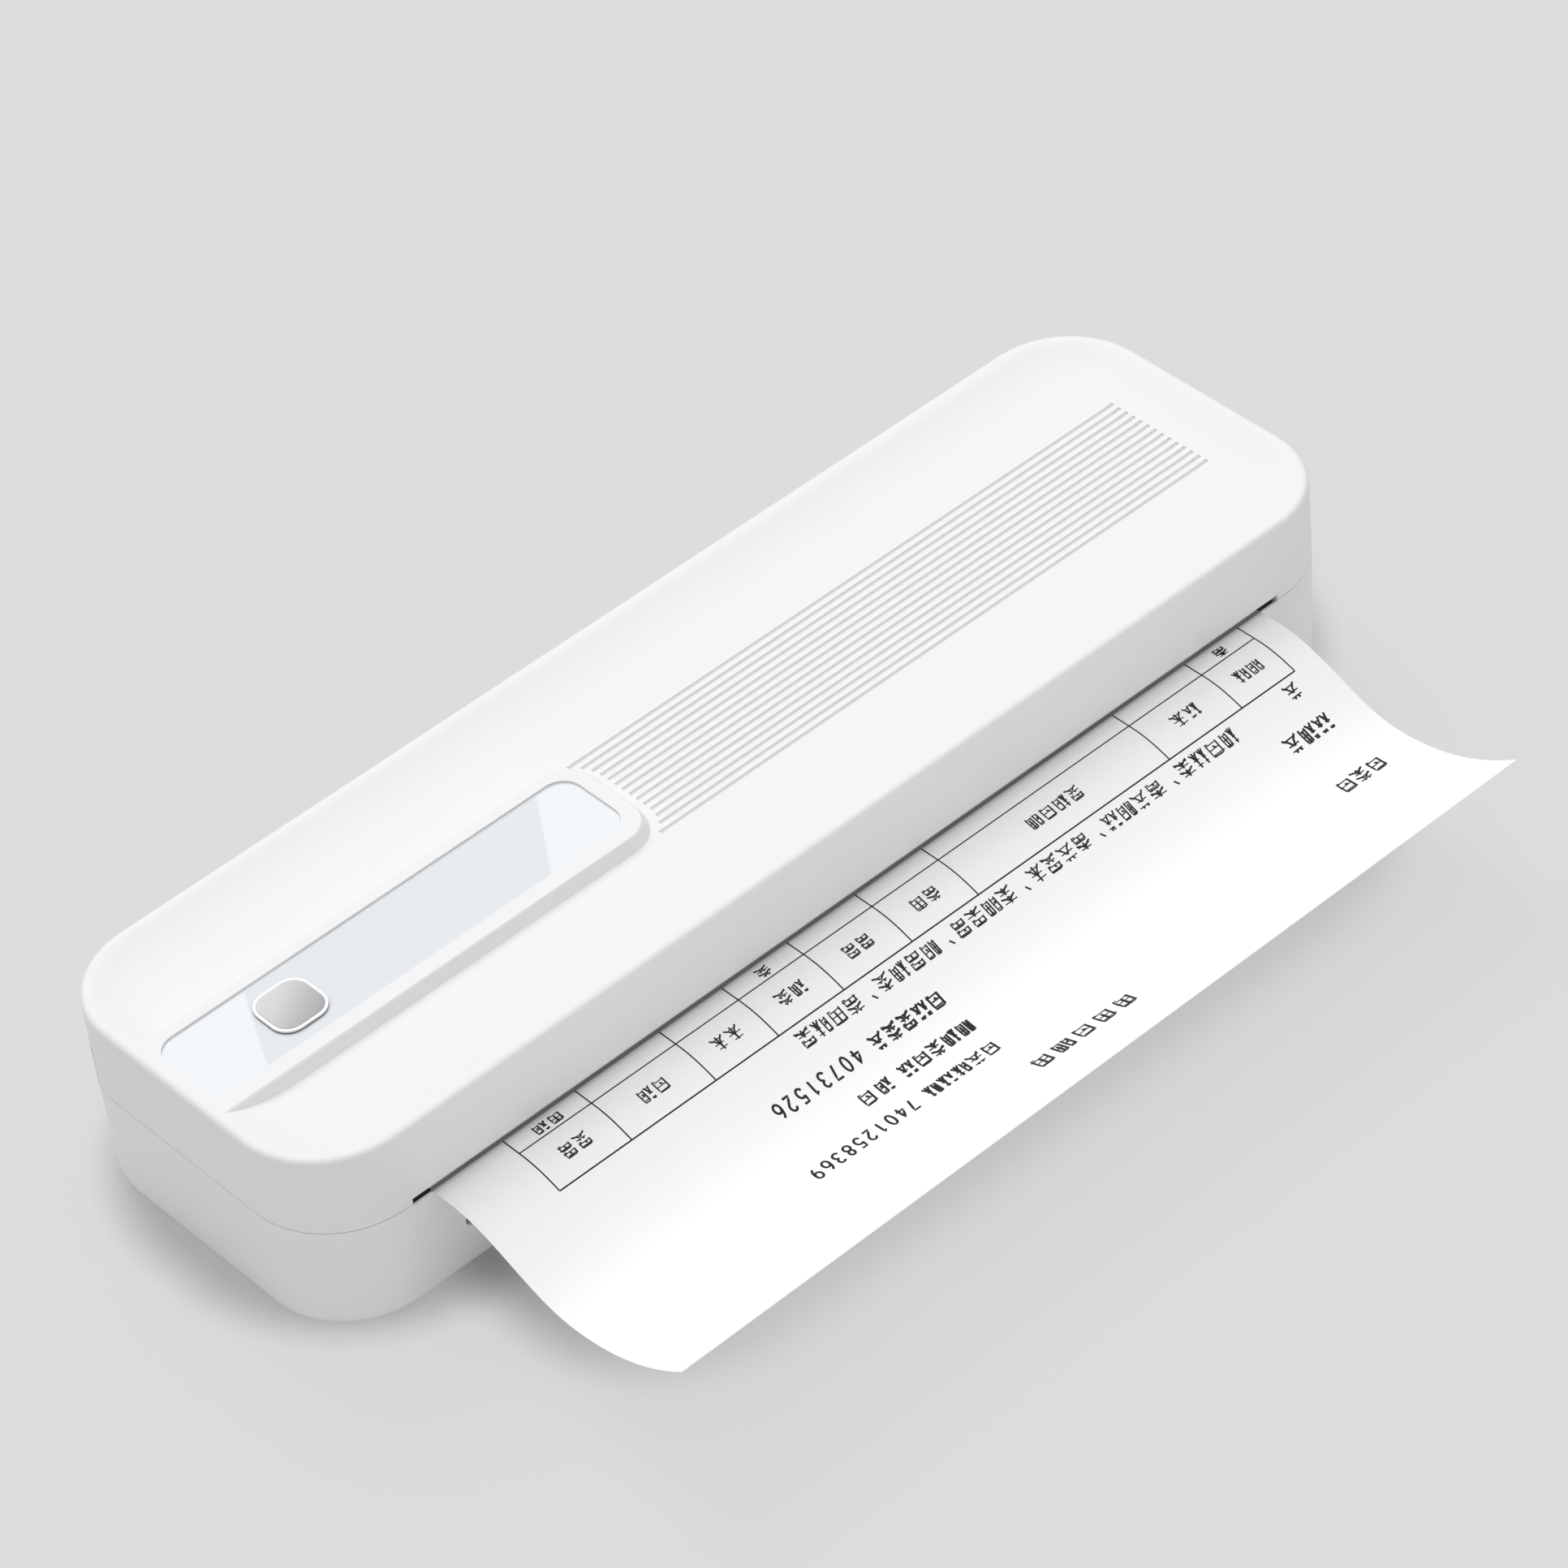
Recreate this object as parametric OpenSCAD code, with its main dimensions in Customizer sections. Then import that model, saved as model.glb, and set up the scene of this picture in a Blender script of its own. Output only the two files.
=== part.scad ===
// Portable thermal printer for A4 paper: a long casing whose upper half swings up on a rear hinge.
// X runs along the casing, -Y is the front with the paper slot, +Z is up.
// The origin is the centre of the casing's outline, on its flat underside. The rubber feet stand below it.

/* [Casing] */
// Length of the casing beyond the paper, at each end
end_w = 25.3; // [24.5:0.1:32]
// Radius of the casing's upright corners
corner_r = 18.8; // [17.5:0.1:20]
// Height of the parting line between base and cover
parting_z = 24; // [23.8:0.1:25.2]
// Visible gap at the parting line
parting_gap = 0.2; // [0.1:0.05:0.4]
// Wall of the base and the cover
wall = 2.2; // [1.6:0.1:2.4]
// Floor of the base
floor_t = 2; // [1.6:0.1:2.2]
// How far the base draws in at its underside
base_draft = 0.5; // [0:0.1:1]
// Radius of the edge round the underside
foot_edge_r = 1.2; // [0.6:0.1:1.6]
// Radius of the edge round the top
top_edge_r = 1.3; // [0.6:0.1:1.6]

/* [Dished top] */
// Width of the rim, from the side of the casing to the dish
rim_w = 2.5; // [2:0.1:4]
// Depth of the dish below the rim
dish_depth = 2.6; // [1.5:0.1:3]
// Width of the curved slope from the rim to the dish floor
dish_ramp = 14; // [10:0.5:15]
// Thickness of the cover's top
top_t = 2; // [1.6:0.1:2.4]

/* [Raised panel] */
// Distance from the casing's centre to the panel's rounded end
pad_end = 25.3; // [22:0.1:40]
// Width of the panel's flat top
pad_w = 24.9; // [22:0.1:28]
// Radius of the panel's rounded corners
pad_r = 6.5; // [4:0.1:8]
// How far the panel's side leans out at its foot
pad_draft = 1.2; // [0.5:0.1:2]
// Distance from the casing's side to the insert
insert_side = 3.4; // [2.8:0.1:8]
// Width of the glossy insert
insert_w = 18.9; // [16:0.1:19.5]
// Radius of the insert's corners
insert_r = 4.5; // [3:0.1:7]
// Thickness of the insert
insert_t = 1.2; // [1:0.1:1.5]
// Depth of the insert's face below the panel
insert_sink = 0.5; // [0.2:0.1:0.8]
// Gap between the insert and the panel's rounded end
insert_end_gap = 3.2; // [2.5:0.1:5]
// How far the insert lies behind the panel's middle line
insert_shift = 0.65; // [0:0.05:0.8]

/* [Grip grooves] */
// Number of grooves
groove_n = 14; // [8:1:14]
// Distance between grooves
groove_pitch = 2; // [1.8:0.05:2]
// Width of a groove
groove_w = 0.9; // [0.5:0.05:1.1]
// Depth of a groove
groove_h = 0.45; // [0.3:0.05:0.8]
// Distance from the casing's side to the grooves' far ends
groove_inset = 12.7; // [12:0.1:30]
// Space between the panel's foot and the grooves
groove_margin = 1.85; // [1:0.05:3]

/* [Power button] */
// Distance from the insert's outer end to the button's centre
button_inset = 24.4; // [18:0.1:50]
// Outside width of the bright bezel
bezel_w = 12.1; // [10.5:0.1:12.5]
// Radius of the bezel's corners
bezel_r = 4; // [3:0.1:5]
// Width of the bezel's rim
bezel_rim = 0.6; // [0.5:0.05:1.1]
// How far the bezel stands above the insert
bezel_h = 0.7; // [0.4:0.1:1]
// How far the button stands above the insert
button_h = 0.6; // [0.5:0.1:1.2]
// Travel of the button
button_travel = 0.5; // [0.2:0.05:0.5]

/* [Paper slot] */
// How far the slot reaches past the paper's edge, at each end
slot_margin = 4.6; // [4:0.1:6]
// Height of the slot above the parting line
slot_h = 1.2; // [1:0.1:1.8]
// Relief below the parting line where the paper passes over the base
slot_relief = 0.4; // [0.35:0.05:0.5]
// Thickness of the frame's tongue that reaches into the slot
tongue_t = 0.5; // [0.4:0.05:0.8]
// Thin skin of the base's wall left in front of the tongue
tongue_skin = 0.5; // [0.4:0.05:0.8]

/* [Hinge] */
// Radius of the hinge barrel
hinge_r = 4; // [3.6:0.1:4.2]
// Height of the hinge axis above the parting line
hinge_rise = 4.2; // [4.1:0.1:4.6]
// Radius of the hinge pin
hinge_pin_r = 1.25; // [1:0.05:1.6]
// Length of a hinge pin
hinge_pin_l = 11.6; // [10.6:0.2:12]
// Width of a cover knuckle
knuckle_w = 5.8; // [4:0.1:6]
// Thickness of the inner hinge ear
ear_t = 2.2; // [1.6:0.1:2.3]
// Distance that the base's hinge ears reach forward from the axis
ear_reach = 7.8; // [6.5:0.1:8]

/* [Paper and roll] */
// Width of the paper
paper_w = 210; // [190:1:230]
// Thickness of the paper
paper_t = 0.12; // [0.08:0.01:0.14]
// Distance that the printed sheet reaches out of the front
paper_reach = 66.9; // [50:0.1:90]
// Distance from the front to the lowest point of the sheet's curl
curl_y = 36.4; // [25:0.1:40]
// Drop of the sheet to the lowest point of its curl
curl_drop = 8.7; // [4:0.1:12]
// Rise of the sheet's loose end above that point
curl_rise = 11.3; // [4:0.1:16]
// Radius of the full roll
roll_r = 14.5; // [12:0.1:14.8]
// Outside radius of the roll's core
core_r = 6.35; // [5:0.05:8]
// Wall of the core
core_wall = 1.1; // [0.8:0.1:1.5]
// Wall of the cradle, trough and deck that guide the paper
guide_t = 1.2; // [1:0.1:1.5]
// Space between the cradle and the casing's floor
cradle_lift = 0.8; // [0.3:0.1:1]
// Radial space between roll and cradle
roll_gap = 0.5; // [0.3:0.1:0.8]

/* [Platen] */
// Distance from the front face to the platen's axis
platen_inset = 12.1; // [11.8:0.1:12.5]
// Radius of the rubber roller
platen_r = 5; // [4.5:0.1:5.1]
// How far the rubber reaches past the paper's edge, at each end
platen_over = 2.6; // [1.5:0.1:3]
// Depth of the roller's top below the parting line
nip_drop = 0.1; // [0.1:0.05:0.3]
// Radius of the steel shaft inside the rubber
shaft_r = 2.6; // [2.3:0.1:3]
// Radius of the journals and the geared end
journal_r = 2; // [1.6:0.1:2.2]
// Radial space between the roller and its trough
trough_gap = 0.7; // [0.4:0.1:1]
// Outside radius of the bushes
bush_r = 4; // [3.4:0.1:4.2]
// Thickness of the frame's end plates
plate_t = 2.4; // [2:0.1:2.6]

/* [Gears] */
// Module of all gears
gear_module = 0.5; // [0.49:0.01:0.51]
// Teeth of the motor pinion
pinion_teeth = 12; // [11:1:14]
// Teeth of the idler's large gear
idler_large_teeth = 30; // [28:1:31]
// Teeth of the idler's small gear
idler_small_teeth = 14; // [14:1:16]
// Teeth of the platen gear
platen_teeth = 28; // [26:1:30]
// Face width of the gears
gear_w = 3; // [2:0.1:3.2]
// Flank clearance of the teeth
gear_play = 0.05; // [0.04:0.01:0.1]

/* [Motor] */
// Radius of the motor can
motor_r = 9.6; // [8.5:0.1:9.8]
// Length of the motor can
motor_l = 22; // [14:0.5:26]
// Radius of the motor shaft
motor_shaft_r = 1; // [0.8:0.05:1.2]

/* [Battery] */
// Radius of a cell in its sleeve
cell_r = 9.2; // [8.5:0.1:9.3]
// Length of a cell
cell_l = 65; // [60:0.5:66]
// Space between the cells and the floor
cell_lift = 0.6; // [0.3:0.1:0.9]

/* [Circuit board] */
// Length of the main board
board_l = 163; // [150:1:166]
// Thickness of the main board
board_t = 1.6; // [1:0.1:1.6]
// Height of the board's top above the underside
board_z = 9.35; // [9.2:0.05:9.45]
// Distance from the casing's end to the middle of the charging socket
socket_inset = 36; // [34:0.1:45]
// Width of the charging socket
socket_w = 8.94; // [8.8:0.02:9]
// Height of the charging socket
socket_h = 3.2; // [3:0.05:3.3]
// Depth of the charging socket
socket_d = 7.35; // [6.5:0.05:8]

/* [Print head] */
// Tilt of the print head, its rear end up
head_tilt = 14; // [13:0.5:15]
// How far the head's plates reach past the paper's edge, at each end
head_over = 2.8; // [1.5:0.1:3]
// Thickness of the ceramic strip
ceramic_t = 1; // [0.8:0.1:1.2]
// Thickness of the aluminium heat sink
sink_t = 2.6; // [2:0.1:3]
// Thickness of the bracket's steel
bracket_t = 1; // [0.8:0.1:1.2]
// Radius of the pivot pins
pivot_r = 1.5; // [1.2:0.05:1.7]
// Number of leaf springs that press on the head
spring_n = 4; // [2:1:5]
// Width of a leaf spring
spring_w = 9; // [6:0.5:12]
// Thickness of the spring steel
spring_t = 0.4; // [0.3:0.05:0.5]

/* [Feet and screws] */
// Radius of a rubber foot
foot_r = 4.5; // [3.5:0.1:5.5]
// How far a foot stands below the underside
foot_h = 0.8; // [0.5:0.1:1.5]
// Depth of a foot's seat in the underside
foot_sink = 0.8; // [0.4:0.1:1]
// Radius of a screw's shank
screw_r = 1.1; // [0.9:0.05:1.2]
// Radius of a screw's head
screw_head_r = 2.4; // [2:0.1:2.5]
// Height of a screw's head
screw_head_h = 1.5; // [1:0.1:1.6]

/* [Clearances] */
// Radial clearance of pins in the holes that they turn in
run_fit = 0.05; // [0.03:0.01:0.08]
// Radial clearance of pins and screws in the holes that hold them
hold_fit = 0.02; // [0.01:0.01:0.04]
// Clearance between pieces that lie side by side
side_gap = 0.3; // [0.2:0.05:0.4]
// Clearance where a loose piece rests in its seat
seat_gap = 0.1; // [0.05:0.01:0.15]

/* [Hidden] */

$fn = 48;
eps = 0.01;

// Steps in each upright corner of the casing, and in the small corners of the panel
corner_steps = 12;
small_steps = 8;

// Length: the paper and an end at each side, with the slot, the platen and the head cut to suit
body_l = paper_w + 2 * end_w;
half_l = body_l / 2;
slot_l = paper_w + 2 * slot_margin;
platen_l = paper_w + 2 * platen_over;
head_l = paper_w + 2 * head_over;

// Depth, from the front: platen and trough, the motor's bay, the roll in its cradle, and the hinge
trough_r = platen_r + trough_gap;
cradle_r = roll_r + roll_gap;
bay_w = 2 * motor_r + 2.3;
roll_back_gap = 2.9;
body_d = platen_inset + trough_r + guide_t + bay_w + guide_t + cradle_r + roll_r
    + roll_back_gap + hinge_r + 0.1;
half_d = body_d / 2;

// Height, from the underside: floor, cradle and roll, the cover's frame, and the cover's top
floor_z = floor_t;
roll_z = floor_z + cradle_lift + guide_t + cradle_r;
beam_t = 1.6;
beam_low = roll_z + roll_r + 0.8;
beam_top = beam_low + beam_t;
ceiling_z = beam_top + 1.6;
dish_z = ceiling_z + top_t;
body_h = dish_z + dish_depth;

// The two faces that meet at the parting line
base_top = parting_z - parting_gap / 2;
cover_bottom = parting_z + parting_gap / 2;

// Hinge axis, and the space kept round the base's ears
hinge_y = half_d - hinge_r - 0.1;
hinge_z = parting_z + hinge_rise;
hinge_gap = 0.3;
knuckle_x = platen_l / 2 + 1.4 + plate_t + 0.5;
knuckle_out = knuckle_x + knuckle_w;
ear_out = knuckle_out + side_gap;
ear_in = knuckle_x - side_gap;

// Paper path: platen below, print head above, roll behind
platen_y = -half_d + platen_inset;
platen_z = parting_z - nip_drop - platen_r;
paper_gap = 0.08;
nip_r = platen_r + 2 * paper_gap + paper_t;
roll_y = hinge_y - roll_r - roll_back_gap;
deck_z = parting_z - 0.8;
lip_z = base_top - slot_relief;

// The frame's end plates stand just outside the platen's rubber
plate_in = platen_l / 2 + 1.4;
plate_out = plate_in + plate_t;
frame_front = -half_d + wall + side_gap;
frame_back = roll_y + cradle_r + guide_t;

// Cells and motor share the bay between trough and cradle
bay_front = platen_y + trough_r + guide_t;
bay_back = roll_y - cradle_r - guide_t;
bay_y = (bay_front + bay_back) / 2;
cell_z = floor_z + cell_lift + cell_r;
motor_z = floor_z + cell_lift + motor_r;

// Gear train: the idler stands below the line from motor to platen, at both centre distances
gear_gap = 0.4;
gear_x1 = plate_out + 0.8;
gear_x2 = gear_x1 + gear_w + gear_gap;
train_a = gear_module * (pinion_teeth + idler_large_teeth) / 2;
train_b = gear_module * (idler_small_teeth + platen_teeth) / 2;
train_y = platen_y - bay_y;
train_z = platen_z - motor_z;
train_l = sqrt(train_y * train_y + train_z * train_z);
train_s = (train_a * train_a - train_b * train_b + train_l * train_l) / (2 * train_l);
train_h = sqrt(train_a * train_a - train_s * train_s);
idler_y = bay_y + (train_s * train_y - train_h * train_z) / train_l;
idler_z = motor_z + (train_s * train_z + train_h * train_y) / train_l;
idler_axle_r = 1.5;

// Print head, in a frame of its own at the platen's axis: Y runs up its slope to the rear
ceramic_front = 0.6;
ceramic_back = 11;
sink_front = 0.2;
sink_back = 17.5;
bracket_back = 19.2;
sink_z = nip_r + ceramic_t;
bracket_z = sink_z + sink_t;
bracket_top = bracket_z + bracket_t;
pivot_y = 17.2;
pivot_z = sink_z + 0.9;
bracket_ear_x = head_l / 2 + side_gap;
lug_x = bracket_ear_x + bracket_t + side_gap;
lug_t = 2.4;

// Beam of the cover's frame over the head, and its two arms
beam_front = platen_y - 6.5;
beam_back = platen_y + 22;
beam_rib = 2.4;
arm_in = lug_x;
arm_out = knuckle_out;

// Insert in the panel, and the power button in the middle of its bezel
insert_out = -half_l + insert_side;
insert_l = half_l - pad_end - insert_end_gap - insert_side;
insert_x = insert_out + insert_l / 2;
button_x = insert_out + button_inset;
button_y = insert_shift - 0.4;
insert_z = body_h - insert_sink;
pocket_z = insert_z - insert_t;
button_w = bezel_w - 2 * bezel_rim - 2 * run_fit;
button_r = bezel_r - bezel_rim - run_fit;
flange_top = ceiling_z - 0.1;
flange_t = 0.9;
flange_w = button_w + 2.2;
plunger_h = 0.7;
plunger_r = 1.7;
switch_h = 1.9;
switch_w = 6;
switch_board_t = 1;
switch_board_w = 9.6;
switch_top = flange_top - flange_t - plunger_h;
switch_board_z = switch_top - switch_h;
switch_post_r = 1.8;
board_ear = 10;

// Screws that hold the cover's frame, evenly spaced along its front edge
cover_screw_pitch = (head_l - 24) / 3;
cover_screw_x = [for (i = [0 : 3]) cover_screw_pitch * (i - 1.5)];
cover_screw_y = beam_front + 4.3;

// Posts and screws that hold the inner frame, and the feet inside the casing's corners
post_x = plate_out + 4;
post_y = [roll_y - 15.6, roll_y - 4.6];
post_r = 3.4;
boss_top = floor_z + 2.4;
post_top = boss_top + 7;
foot_x = half_l - corner_r + 0.5;
foot_y = half_d - 17.1;

// Main board between the front wall and the cells
board_front = frame_front + 0.1;
board_back = bay_front - 1.2 + 0.9;
board_x0 = -half_l + 24;
board_low = board_z - board_t;
pillar_r = 2.6;
pillar_x = [board_x0 + 24, board_x0 + board_l / 2, board_x0 + board_l - 5];
pillar_y = board_front + 4.2;

// Four points of a rounded rectangle's corners, each drawn with the same number of steps
function round_points(l, d, r, n) = [
    for (q = [0 : 3], i = [0 : n])
        let (a = 90 * q + 90 * i / n,
             cx = (q == 0 || q == 3) ? l / 2 - r : r - l / 2,
             cy = (q < 2) ? d / 2 - r : r - d / 2)
        [cx + r * cos(a), cy + r * sin(a)]
];

module round_rect(l, d, r, n = small_steps) {
    polygon(round_points(l, d, r, n));
}

// Solid skinned over level rounded rectangles, each given as [height, length, depth, radius, X shift]
module loft(rings, n = corner_steps) {
    m = 4 * (n + 1);
    k = len(rings);
    points = [
        for (g = rings)
            each [for (p = round_points(g[1], g[2], g[3], n)) [p[0] + g[4], p[1], g[0]]]
    ];
    sides = [
        for (j = [0 : k - 2], i = [0 : m - 1])
            let (a = j * m + i, b = j * m + (i + 1) % m)
            each [[a, a + m, b + m], [a, b + m, b]]
    ];
    low = [[for (i = [0 : m - 1]) i]];
    high = [[for (i = [m - 1 : -1 : 0]) (k - 1) * m + i]];
    polyhedron(points, concat(low, sides, high));
}

// One ring of a loft that follows the casing's outline, inset by i
function casing_ring(z, i) = [z, body_l - 2 * i, body_d - 2 * i, max(corner_r - i, 2), 0];

// Draws a flat outline, given as (Y, Z), and carries it along X from x0 to x1
module along_x(x0, x1) {
    translate([x0, 0, 0])
        rotate([90, 0, 90])
            linear_extrude(x1 - x0)
                children();
}

module rod_x(x0, x1, y, z, r) {
    translate([x0, y, z])
        rotate([0, 90, 0])
            cylinder(h = x1 - x0, r = r);
}

module both_ends() {
    children();
    mirror([1, 0, 0])
        children();
}

// Round washer or tube of flat outline
module ring(r_out, r_in) {
    difference() {
        circle(r_out);
        circle(r_in);
    }
}

// ---- Base ----

module base_outer() {
    loft(concat(
        [for (a = [0 : 30 : 90])
            casing_ring(foot_edge_r * (1 - cos(a)), base_draft + foot_edge_r * (1 - sin(a)))],
        [casing_ring(base_top, 0)]
    ));
}

module base_hollow() {
    loft([
        casing_ring(floor_z, wall + base_draft + 1),
        casing_ring(floor_z + 1, wall + base_draft),
        casing_ring(base_top + 1, wall)
    ]);
}

// Outline of the hinge ears, with a barrel top that the cover's rear edge turns round
module ear_outline(low) {
    intersection() {
        translate([hinge_y - ear_reach, low])
            square([half_d - hinge_y + ear_reach, hinge_z + hinge_r - low]);
        union() {
            translate([hinge_y - ear_reach, low])
                square([half_d - hinge_y + ear_reach, hinge_z - low]);
            translate([hinge_y, hinge_z])
                circle(hinge_r);
            intersection() {
                translate([hinge_y, hinge_z])
                    circle(ear_reach);
                translate([hinge_y - ear_reach, hinge_z - 1])
                    square([ear_reach, hinge_r + 1]);
            }
        }
    }
}

// Rear of the base, raised past the parting line to carry the hinge
module spine() {
    intersection() {
        along_x(-half_l, half_l)
            ear_outline(parting_z - 2);
        difference() {
            inside_outline(0);
            inside_outline(wall);
        }
    }
}

// Saddle rib that a cell lies in
module cell_rib(x) {
    difference() {
        translate([x - 1, bay_y - cell_r * 0.8, floor_z - 0.5])
            cube([2, cell_r * 1.6, 4.5]);
        rod_x(x - 2, x + 2, bay_y, cell_z, cell_r + seat_gap);
    }
}

module base_shell() color("white") {
    difference() {
        union() {
            difference() {
                union() {
                    base_outer();
                    spine();
                }
                base_hollow();
            }
            both_ends() {
                for (x = [ear_in - ear_t, ear_out])
                    intersection() {
                        along_x(x, x + ear_t)
                            ear_outline(floor_z - 0.5);
                        union() {
                            base_outer();
                            inside_outline(0);
                        }
                        translate([0, 0, 1])
                            inside_outline(wall / 2);
                    }
                for (y = post_y)
                    translate([post_x, y, floor_z - 0.5])
                        cylinder(h = boss_top - floor_z + 0.5, r = post_r + 0.6);
            }
            for (x = [-52, -14, 14, 52])
                cell_rib(x);
            for (x = pillar_x)
                translate([x, pillar_y, floor_z - 0.5])
                    cylinder(h = board_low - floor_z + 0.5, r = pillar_r);
        }
        // Paper slot, with a lower lip where the sheet runs over the base, and a step for the frame's tongue
        translate([-slot_l / 2, -half_d - 1, lip_z])
            cube([slot_l, wall + 2, 5]);
        translate([-slot_l / 2, -half_d + tongue_skin, lip_z - tongue_t - seat_gap])
            cube([slot_l, wall, 5]);
        both_ends() {
            // Knuckle slot, hinge bore, foot seats and screw holes
            rod_x(ear_in - hinge_pin_l, ear_out + ear_t + 1, hinge_y, hinge_z, hinge_pin_r + hold_fit);
            along_x(ear_in, ear_out)
                intersection() {
                    translate([hinge_y, hinge_z])
                        circle(ear_reach);
                    translate([0, hinge_z - 5.2])
                        square([half_d + 5, 20]);
                }
            for (y = [-foot_y, foot_y])
                translate([foot_x, y, -1])
                    cylinder(h = 1 + foot_sink, r = foot_r + hold_fit);
            for (y = post_y)
                translate([post_x, y, -1]) {
                    cylinder(h = 1 + screw_head_h + 0.5, r = screw_head_r + 0.2);
                    cylinder(h = 20, r = screw_r + hold_fit);
                }
        }
        for (x = pillar_x)
            translate([x, pillar_y, floor_z + 0.5])
                cylinder(h = 20, r = screw_r + hold_fit);
        // Mouth of the charging socket, with a shallow recess round it
        along_socket(half_d + 1, socket_w + 0.5, socket_h + 0.3);
    }
}

// Full-round slot through the front wall at the charging socket, of length l and height h
module along_socket(depth, l, h) {
    translate([socket_inset - half_l, -depth, board_z + socket_h / 2])
        rotate([-90, 0, 0])
            linear_extrude(depth - half_d + wall + 1.5)
                hull()
                    for (s = [-1, 1])
                        translate([s * (l - h) / 2, 0])
                            circle(h / 2);
}

module rubber_feet() color("dimgray")
    both_ends()
        for (y = [-foot_y, foot_y])
            translate([foot_x, y, -foot_h])
                cylinder(h = foot_h + foot_sink, r = foot_r);

module screw(shank) {
    difference() {
        cylinder(h = screw_head_h, r = screw_head_r);
        translate([0, 0, -1])
            linear_extrude(1 + screw_head_h * 0.6)
                for (a = [0, 90])
                    rotate(a)
                        square([screw_head_r * 1.1, 0.6], center = true);
    }
    translate([0, 0, screw_head_h - eps])
        cylinder(h = shank, r = screw_r);
}

module base_screws() color("silver")
    both_ends()
        for (y = post_y)
            translate([post_x, y, 0.5])
                screw(post_top - screw_head_h - 2);

module hinge_pins() color("silver")
    both_ends()
        rod_x(ear_in - ear_t, ear_in - ear_t + hinge_pin_l, hinge_y, hinge_z, hinge_pin_r);

// ---- Inner frame and paper ----

module guide_outline() {
    difference() {
        union() {
            // Cradle for the roll
            difference() {
                translate([roll_y, roll_z])
                    circle(cradle_r + guide_t, $fn = 96);
                translate([roll_y - 30, deck_z])
                    square([30, 30]);
                translate([roll_y, roll_z + 5])
                    square([30, 30]);
            }
            // Deck over the cells, then the trough under the platen
            translate([platen_y, deck_z - guide_t])
                square([roll_y - platen_y, guide_t]);
            difference() {
                translate([platen_y, platen_z])
                    circle(trough_r + guide_t, $fn = 64);
                translate([platen_y - 20, lip_z])
                    square([20, 30]);
                translate([platen_y, deck_z])
                    square([20, 30]);
            }
            // Front lip, with a thin tongue into the slot
            translate([frame_front, lip_z - guide_t])
                square([platen_y - frame_front, guide_t]);
            translate([-half_d + tongue_skin + seat_gap, lip_z - tongue_t])
                square([wall + side_gap - tongue_skin, tongue_t]);
        }
        translate([roll_y, roll_z])
            circle(cradle_r, $fn = 96);
        translate([platen_y, platen_z])
            circle(trough_r, $fn = 64);
    }
}

module plate_outline() {
    difference() {
        polygon([
            [frame_front + 4, floor_z + 0.6], [hinge_y - ear_reach - 1, floor_z + 0.6],
            [hinge_y - ear_reach - 1, roll_z + 6], [roll_y - cradle_r - 1, roll_z + 6],
            [roll_y - cradle_r - 5, lip_z], [frame_front, lip_z], [frame_front, board_z + 4],
            [frame_front + 4, board_z + 1]
        ]);
        // Notch that a bush drops into from above
        translate([platen_y, platen_z]) {
            circle(bush_r + hold_fit);
            translate([-bush_r - hold_fit, 0])
                square([2 * (bush_r + hold_fit), 20]);
        }
    }
}

module inner_frame() color("gray")
    difference() {
        union() {
            along_x(-plate_in, plate_in)
                guide_outline();
            both_ends() {
                along_x(plate_in - eps, plate_out)
                    plate_outline();
                for (y = post_y)
                    translate([0, 0, boss_top]) {
                        translate([post_x, y, 0])
                            cylinder(h = post_top - boss_top, r = post_r);
                        translate([plate_out - eps, y - 1.2, 0])
                            cube([post_x - plate_out, 2.4, post_top - boss_top]);
                    }
            }
        }
        both_ends()
            for (y = post_y)
                translate([post_x, y, 0])
                    cylinder(h = post_top - 1, r = screw_r + hold_fit);
        // Holes for the motor, its screws and the idler's axle
        rod_x(plate_in - 1, plate_out + 1, bay_y, motor_z, motor_shaft_r + 1);
        for (s = [-1, 1])
            rod_x(plate_in - 1, plate_out + 1, bay_y, motor_z + s * motor_screw_z, screw_r + hold_fit);
        rod_x(plate_in - 1, plate_out + 1, idler_y, idler_z, idler_axle_r + hold_fit);
        // Hole for the paper sensor
        translate([-sensor_l / 2 - seat_gap, sensor_y - sensor_w / 2 - seat_gap, deck_z - guide_t - 1])
            cube([sensor_l + 2 * seat_gap, sensor_w + 2 * seat_gap, guide_t + 2]);
    }

sensor_l = 4.4;
sensor_w = 3.2;
sensor_y = bay_front + 4.5;
motor_screw_z = 7;

module platen_bushes() color("ivory")
    both_ends()
        difference() {
            union() {
                rod_x(plate_in - 0.8, plate_out + 0.65, platen_y, platen_z, bush_r);
                rod_x(plate_in - 0.8, plate_in - 0.05, platen_y, platen_z, bush_r + 0.8);
            }
            rod_x(plate_in - 2, plate_out + 1, platen_y, platen_z, journal_r + run_fit);
        }

// Reflective sensor, flush with the deck
module paper_sensor() color("black")
    difference() {
        translate([-sensor_l / 2, sensor_y - sensor_w / 2, deck_z - guide_t - 0.3])
            cube([sensor_l, sensor_w, guide_t + 0.3]);
        for (s = [-1, 1])
            translate([s * sensor_l / 4, sensor_y, deck_z - 0.4])
                cylinder(h = 1, r = 0.6);
    }

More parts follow.
